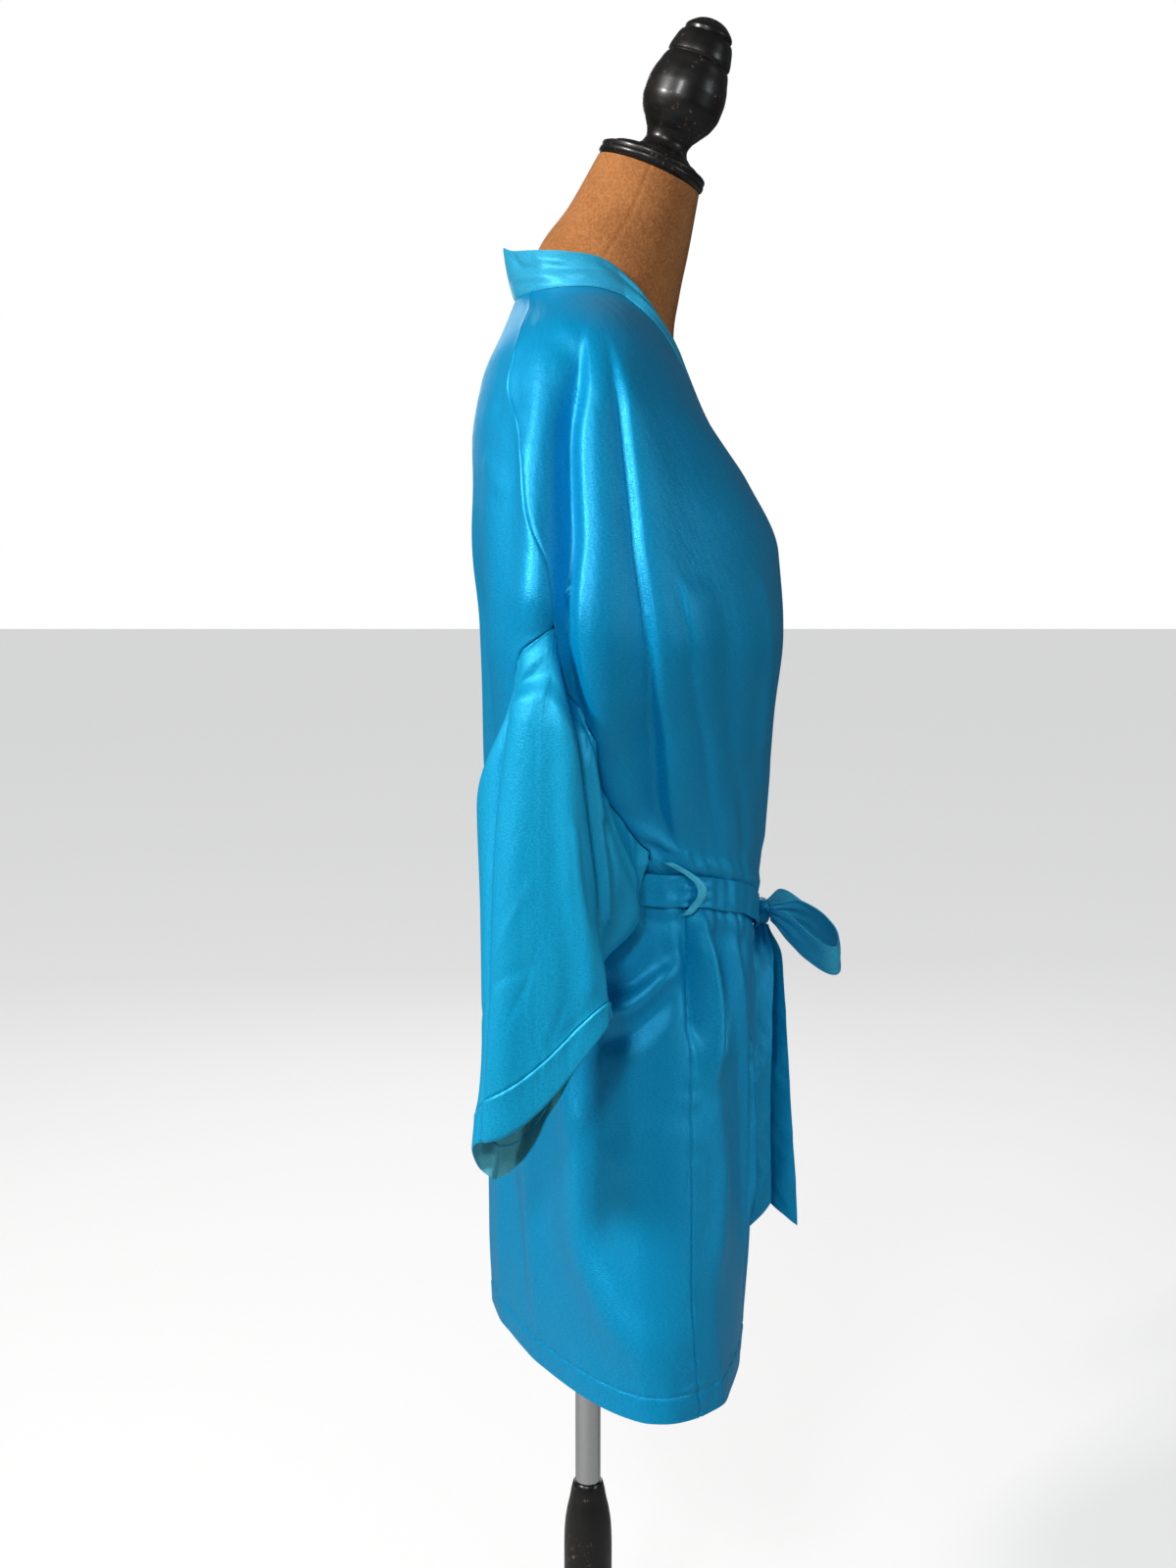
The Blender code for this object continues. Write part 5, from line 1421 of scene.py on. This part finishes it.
# %% The bow's loops
BOW_DIRECTION = (-0.52, -0.85, 0.05)
BOW_LEAN = (-0.45, 0.10, 0.90)
BOW_STATIONS, BOW_COLUMNS = 170, 19
BOW_LENGTH, BOW_WIDTH = 0.060, 0.030
BOW_START, BOW_CLEAR = 0.6, 0.0017
BOW_OPEN, BOW_LAYERS_APART = 0.014, 0.25
BOW_DROOP, BOW_STEP = 0.034, 0.007


def bow_loop(label, side):
    """One loop of the bow: out from the knot, round its end and back, hanging under its weight."""
    share = np.linspace(0.0, 1.0, BOW_STATIONS)
    reach = (1 - np.cos(2 * np.pi * share)) / 2
    apart = np.sin(2 * np.pi * share) * np.sqrt(reach) + (0.5 - share) * BOW_LAYERS_APART
    out = unit(np.array(BOW_DIRECTION) * (side, 1, 1))
    sideways = unit(np.cross(out, (0, 0, 1)))
    start = KNOT_MIDDLE - (side * BOW_START * KNOT_HALF[0], KNOT_HALF[1] + BOW_CLEAR, 0)
    middle = start + out * (BOW_LENGTH * reach)[:, None] + sideways * (BOW_OPEN * apart)[:, None]
    middle[:, 2] -= BOW_DROOP * reach**1.6 + BOW_STEP * apart
    lean = unit(np.array(BOW_LEAN) * (side, 1, 1)) * BOW_WIDTH
    narrow = KNOT_SQUEEZE + (1 - KNOT_SQUEEZE) * ease(0.0, 0.4, reach)
    across = lean * narrow[:, None]

    def drawn_in(part, run):
        near = (1 - ease(0.05, 0.75, reach))[:, None]
        return 0.0011 * near * np.cos(2 * math.pi * 2.5 * part) * ease(0, 0.004, run)

    # The bow's loops take the collar's lighter satin, with painted light in its colour.
    return strip(f"bow_loop_{label}_cloth", middle, across, BOW_COLUMNS, drawn_in, COLLAR_AND_BOW_SATIN_PAINTED_LIT)


# %% The belt's ends
TAIL_STATIONS = 150
TAIL_SLANT = 0.019
# Columns: x, y, z, turn about the vertical
TAIL_RIGHT = (
    (-0.0070, -0.1422, 0.8461, 10.0),
    (-0.0165, -0.1424, 0.8180, 26.0),
    (-0.0225, -0.1414, 0.7800, 30.0),
    (-0.0225, -0.1414, 0.7000, 26.0),
    (-0.0215, -0.1440, 0.5990, 24.0),
)
TAIL_LEFT = (
    (0.0050, -0.1460, 0.8461, -10.0),
    (0.0090, -0.1520, 0.8180, -20.0),
    (0.0130, -0.1560, 0.7800, -24.0),
    (0.0140, -0.1610, 0.7000, -20.0),
    (0.0150, -0.1690, 0.5860, -15.0),
)


def belt_tail(label, stations, slant):
    """A free end of the belt, hanging and a little turned, cut on a slant at its foot."""
    rows = np.array(stations)
    knots = np.linspace(0, 1, len(rows))
    at = np.linspace(0, 1, TAIL_STATIONS)
    middle = through(knots, rows[:, :3], at)
    turn = np.radians(through(knots, rows[:, 3:], at)[:, 0])
    width = BELT_WIDTH * (KNOT_SQUEEZE + (1 - KNOT_SQUEEZE) * ease(0.0, 0.25, at))
    across = np.stack([np.sin(turn), -np.cos(turn), 0 * turn], axis=-1) * width[:, None]
    across[:, 2] = slant * ease(0.93, 1.0, at)

    def drawn_in(share, run):
        near = (1 - ease(0.02, 0.30, at))[:, None]
        hollow = 0.0016 * (2 * share) ** 2 * np.sin(14 * run + 1.2)
        return 0.0009 * near * np.cos(2 * math.pi * 2.2 * share) + hollow

    return strip(f"belt_tail_{label}_cloth", middle, across, BELT_COLUMNS, drawn_in, SATIN)


wear(knot(), "belt_knot")
for label, side in SIDES:
    wear(bow_loop(label, side), f"bow_loop_{label}")
wear(belt_tail("right", TAIL_RIGHT, TAIL_SLANT), "belt_tail_right")
wear(belt_tail("left", TAIL_LEFT, -TAIL_SLANT), "belt_tail_left")


# %% [markdown]
# ## Stitches
#
# The hem is sewn down about two centimetres above its edge, and the thread shows there as a row of
# small bright dashes. Each stitch is a short spindle that lies half in the cloth. Whole rows are
# joined to one mesh, because hundreds of separate objects would be slow.

# %% Rows of stitches
STITCH_LONG, STITCH_PITCH, STITCH_THICK = 0.0021, 0.0034, 0.00018
STITCH_SUNK, STITCH_LOOK_AHEAD = 0.0006, 0.0005
STITCH_SIDES = 6
# Columns: share of the stitch's length from its middle, share of its thickness
STITCH_RINGS = ((-0.5, 0.45), (-0.25, 1.0), (0.25, 1.0), (0.5, 0.45))


def at_lengths(path, run, places):
    """The path's values at the given running lengths."""
    return np.stack([np.interp(places, run, path[:, k]) for k in range(3)], axis=-1)


def spindle(middle, forward, up, aside, first):
    """One stitch: its points, and its faces, whose corners are numbered from first on."""
    points = []
    for place, size in STITCH_RINGS:
        for step in range(STITCH_SIDES):
            turn = 2 * math.pi * step / STITCH_SIDES
            off_axis = (math.cos(turn) * up + math.sin(turn) * aside) * STITCH_THICK * size
            points.append(middle + forward * place * STITCH_LONG + off_axis)
    faces = []
    for ring in range(len(STITCH_RINGS) - 1):
        start = first + ring * STITCH_SIDES
        for step in range(STITCH_SIDES):
            a, b = start + step, start + (step + 1) % STITCH_SIDES
            faces.append((a, b, b + STITCH_SIDES, a + STITCH_SIDES))
    end = first + len(points)
    faces.append(tuple(range(first, first + STITCH_SIDES))[::-1])
    faces.append(tuple(range(end - STITCH_SIDES, end)))
    return points, faces


def stitch_row(name, path, out):
    """Stitches at even steps along a path, with the direction out of the cloth at each point."""
    run = lengths(path, 0)
    starts = np.arange(STITCH_PITCH, run[-1] - STITCH_PITCH, STITCH_PITCH)
    middles = at_lengths(path, run, starts)
    along = unit(at_lengths(path, run, starts + STITCH_LOOK_AHEAD) - middles)
    outs = unit(at_lengths(out, run, starts))
    points, faces = [], []
    for frame_of_stitch in zip(middles, along, outs, np.cross(along, outs)):
        new_points, new_faces = spindle(*frame_of_stitch, len(points))
        points += new_points
        faces += new_faces
    mesh = bpy.data.meshes.new(name)
    mesh.from_pydata([tuple(point) for point in points], [], faces)
    mesh.materials.append(THREADS)
    mesh.uv_layers.new(name="UVMap")
    piece = bpy.data.objects.new(name, mesh)
    bpy.context.scene.collection.objects.link(piece)
    select_only(piece)
    with editing_all():
        bpy.ops.mesh.normals_make_consistent(inside=False)
    bpy.ops.object.shade_smooth_by_angle(angle=SMOOTH_UNDER)
    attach(piece, "root")
    print(name, len(middles), "stitches")


# %% Sew the hem
HEM_MARKS = 500
hem_side = side_edge(np.array([HEM_HEIGHT + HEM_DEEP]), front=True)[0]
hem_front = float(seam_angle(FRONT_EDGE, HEM_HEIGHT))


def hem_stitches(label, first, last, side=1, lifted=False):
    """The hem's stitches between two angles, on the wrap's lifted cloth where that is asked for."""
    height = np.full(HEM_MARKS, HEM_HEIGHT + HEM_DEEP)
    own = np.linspace(first, last, HEM_MARKS)
    lift = side * lap_lift(own, height) if lifted else 0.0
    path = robe(side * own, height, lift - STITCH_SUNK)
    stitch_row(f"stitches_hem_{label}", path, outward(ROBE_RINGS, side * own, height))


hem_stitches("back", hem_side + 0.6, 359.4 - hem_side)
for label, side in SIDES:
    hem_stitches(f"front_{label}", hem_side - 0.4, hem_front + 1.0, side, lifted=True)


# %% [markdown]
# ## The dress form and its stand
#
# The form is a padded body under a tight suede cover, with a short neck that leans forward. It was
# stuffed and covered, so its seams are only faint lines. The cap, its urn-shaped finial, the post
# and the base are turned: a disc is extruded up its outline and resized at every step, which leaves
# the same crisp rings that a lathe tool does.

# %% The covered form
# Columns as in ROBE_RINGS
TORSO_RINGS = (
    (1.450, 0.0405, -0.0475, 1.4462, -0.0870, 1.4306, -0.0080, 1.4618, 2.0, 2.0),
    (1.410, 0.0450, -0.0320, 1.4080, -0.0795, 1.3890, 0.0155, 1.4220, 2.0, 2.0),
    (1.375, 0.0490, -0.0110, 1.3750, -0.0720, 1.3520, 0.0400, 1.3880, 2.0, 2.0),
    (1.352, 0.0600, 0.0030, 1.3480, -0.0680, 1.3220, 0.0515, 1.3500, 2.0, 2.0),
    (1.335, 0.1170, 0.0050, 1.3361, -0.0750, 1.2890, 0.0645, 1.3200, 2.0, 2.2),
    (1.305, 0.1684, 0.0085, 1.3063, -0.0875, 1.2490, 0.0765, 1.2830, 2.2, 2.3),
    (1.262, 0.1850, 0.0100, 1.2590, -0.1130, 1.2040, 0.0800, 1.2380, 2.2, 2.4),
    (1.195, 0.1740, 0.0000, 1.1950, -0.1380, 1.1550, 0.0780, 1.1850, 2.3, 2.4),
    (1.105, 0.1540, -0.0080, 1.1050, -0.1410, 1.0950, 0.0700, 1.1000, 2.4, 2.4),
    (1.030, 0.1430, -0.0150, 1.0300, -0.1240, 1.0300, 0.0640, 1.0300, 2.3, 2.3),
    (0.905, 0.1200, -0.0250, 0.9050, -0.1020, 0.9050, 0.0460, 0.9050, 2.2, 2.2),
    (0.800, 0.1450, -0.0280, 0.8000, -0.1080, 0.8000, 0.0580, 0.8000, 2.2, 2.0),
    (0.700, 0.1540, -0.0300, 0.7000, -0.1080, 0.7000, 0.0600, 0.7000, 2.2, 2.0),
)


FORM_COLUMNS, NECK_ROWS, FORM_ROWS = 180, 60, 130
FORM_TOP, FORM_NECK, FORM_FOOT = 1.450, 1.352, 0.700
NECK_SLOPES_TO = 1.39


def form_cover():
    """The cover: rings that are closer on the neck, a faint groove at both side seams, closed ends."""
    angle = np.linspace(0, 360, FORM_COLUMNS, endpoint=False)
    neck = np.linspace(FORM_TOP, FORM_NECK, NECK_ROWS)
    body = np.linspace(FORM_NECK, FORM_FOOT, FORM_ROWS)[1:]
    height = np.concatenate([neck, body])
    dip = 1 + ease(NECK_SLOPES_TO, FORM_NECK, height)[:, None]
    points = ring_points(TORSO_RINGS, angle[None, :], height[:, None], dip)
    centre = points.mean(axis=1, keepdims=True)
    seam = np.abs(angle_apart(np.abs(angle_apart(angle, 0.0)), 90.0))[None, :]
    groove = 0.0005 * bell(seam, 1.3) - 0.0002 * bell(seam - 4.0, 2.0)
    points = points - unit(points - centre) * groove[..., None]
    piece = grid_through("form_cover", closed_round(points))
    with editing_all():
        bpy.ops.mesh.remove_doubles(threshold=MERGE)
        bpy.ops.mesh.fill_holes(sides=0)
        bpy.ops.mesh.select_all(action="SELECT")
        bpy.ops.mesh.normals_make_consistent(inside=False)
    bpy.ops.object.shade_smooth_by_angle(angle=math.radians(40))
    piece.data.materials.append(SUEDE)
    return piece


def stand_for(piece, node):
    """The piece takes the place of its solid, and moves with the form."""
    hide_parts(node)
    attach(piece, "root")
    print(piece.name, len(piece.data.polygons), "faces")


stand_for(form_cover(), "torso")

# %% Turned wood and the steel rod
STAND_GAP = 0.0004
CAP_TILT = math.radians(21.5)
CAP_FOOT = (0.0, -0.0475, 1.4462)
FLANGE_TOP, FINIAL_SHIFT = 0.0150, 0.0042
# Each outline is a list of (radius, height), from bottom to top.
FLANGE_OUTLINE = (
    (0.0408, 0.0004), (0.0415, 0.0008), (0.0431, 0.0026), (0.0436, 0.0033), (0.0438, 0.0045),
    (0.0438, 0.0058), (0.0434, 0.0066), (0.0430, 0.0072), (0.0432, 0.0080), (0.0435, 0.0090),
    (0.0433, 0.0101), (0.0425, 0.0108), (0.0410, 0.0111), (0.0404, 0.0109), (0.0398, 0.0113),
    (0.0385, 0.0116), (0.0376, 0.0118), (0.0370, 0.0121), (0.0365, 0.0126), (0.0362, 0.0134),
    (0.0355, 0.0142), (0.0345, 0.0147), (0.0330, 0.0150),
)
# Columns: height, radius
FINIAL_OUTLINE = (
    (0.0000, 0.0255), (0.0030, 0.0235), (0.0065, 0.0195), (0.0120, 0.0176), (0.0170, 0.0188),
    (0.0240, 0.0232), (0.0330, 0.0290), (0.0430, 0.0318), (0.0520, 0.0319), (0.0600, 0.0308),
    (0.0680, 0.0284), (0.0750, 0.0260), (0.0770, 0.0244), (0.0790, 0.0256), (0.0880, 0.0238),
    (0.0950, 0.0212), (0.0970, 0.0192), (0.0990, 0.0196), (0.1060, 0.0140), (0.1090, 0.0085),
    (0.1105, 0.0010),
)
POST_OUTLINE = (
    (0.0210, 0.0304), (0.0210, 0.0920), (0.0214, 0.0930), (0.0240, 0.0945), (0.0250, 0.0965),
    (0.0252, 0.1010), (0.0250, 0.1055), (0.0240, 0.1075), (0.0214, 0.1090), (0.0210, 0.1100),
    (0.0210, 0.2870), (0.0209, 0.2930), (0.0207, 0.3000), (0.0202, 0.3080), (0.0197, 0.3130),
    (0.0182, 0.3225), (0.0165, 0.3300), (0.0155, 0.3350), (0.0148, 0.3395), (0.0140, 0.3430),
    (0.0135, 0.3450), (0.0130, 0.3468), (0.0120, 0.3480),
)
BASE_OUTLINE = (
    (0.1640, 0.0000), (0.1650, 0.0008), (0.1650, 0.0085), (0.1645, 0.0105), (0.1625, 0.0128),
    (0.1590, 0.0145), (0.1530, 0.0160), (0.1450, 0.0170), (0.1250, 0.0179), (0.1000, 0.0190),
    (0.0700, 0.0208), (0.0560, 0.0223), (0.0520, 0.0240), (0.0512, 0.0258), (0.0480, 0.0280),
    (0.0452, 0.0290), (0.0420, 0.0300),
)
ROD_OUTLINE = ((0.0104, 0.3484), (0.0110, 0.3490), (0.0110, 0.6990), (0.0104, 0.6996))


# %% Turn the stand's pieces
def turned(name, outline, finish, segments=96):
    """A disc extruded up an outline, and resized at every step."""
    deselect_all()
    radius, height = outline[0]
    place = (0, 0, height)
    bpy.ops.mesh.primitive_circle_add(vertices=segments, radius=radius, fill_type="NGON", location=place)
    piece = bpy.context.object
    piece.name = name
    with editing_all():
        for (before, low), (after, high) in zip(outline, outline[1:]):
            bpy.ops.mesh.extrude_region_move(TRANSFORM_OT_translate={"value": (0, 0, high - low)})
            grown = after / before
            bpy.ops.transform.resize(value=(grown, grown, 1), center_override=(0, 0, high))
        bpy.ops.mesh.select_all(action="SELECT")
        bpy.ops.mesh.normals_make_consistent(inside=False)
    bpy.ops.object.transform_apply(location=True, rotation=False, scale=False)
    bpy.ops.object.shade_smooth_by_angle(angle=math.radians(32))
    piece.data.materials.append(finish)
    return piece


def tilted(piece, shift=(0.0, 0.0, 0.0)):
    """The piece, moved along its own axis and tilted with the neck, with that kept in its mesh."""
    turn = Matrix.Rotation(CAP_TILT, 4, "X")
    piece.matrix_world = Matrix.Translation(CAP_FOOT) @ turn @ Matrix.Translation(shift)
    bpy.context.view_layer.update()
    select_only(piece)
    bpy.ops.object.transform_apply(location=True, rotation=True, scale=False)
    return piece


def smooth_outline(table, steps):
    """Points of (radius, height) on a smooth curve through rows of (height, radius)."""
    rows = np.array(table)
    heights = np.unique(np.concatenate([np.linspace(0, rows[-1, 0], steps), rows[:, 0]]))
    radii = through(rows[:, 0], rows[:, 1:], heights)[:, 0]
    return list(zip(radii.tolist(), heights.tolist()))


finial = turned("finial_turned", smooth_outline(FINIAL_OUTLINE, 100), BLACK_WOOD)
stand_for(tilted(finial, (0, -FINIAL_SHIFT, FLANGE_TOP + STAND_GAP)), "finial")
stand_for(tilted(turned("flange_turned", FLANGE_OUTLINE, BLACK_WOOD)), "neck_cap")
stand_for(turned("post_turned", POST_OUTLINE, BLACK_WOOD), "post")
stand_for(turned("base_turned", BASE_OUTLINE, BLACK_WOOD, 128), "base")
stand_for(turned("rod_steel", ROD_OUTLINE, STEEL, 64), "rod")

# %% [markdown]
# ## Finish
#
# The whole model is measured once more beside the box that the solids fill, because cloth that
# strays out of it would be cut off by whatever uses that box.

# %% Measure and finish
low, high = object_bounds()
for corner, new, old in (("low", low, cad_low), ("high", high, cad_high)):
    print(corner, "corner moved by", [round(a - b, 4) for a, b in zip(new, old)])
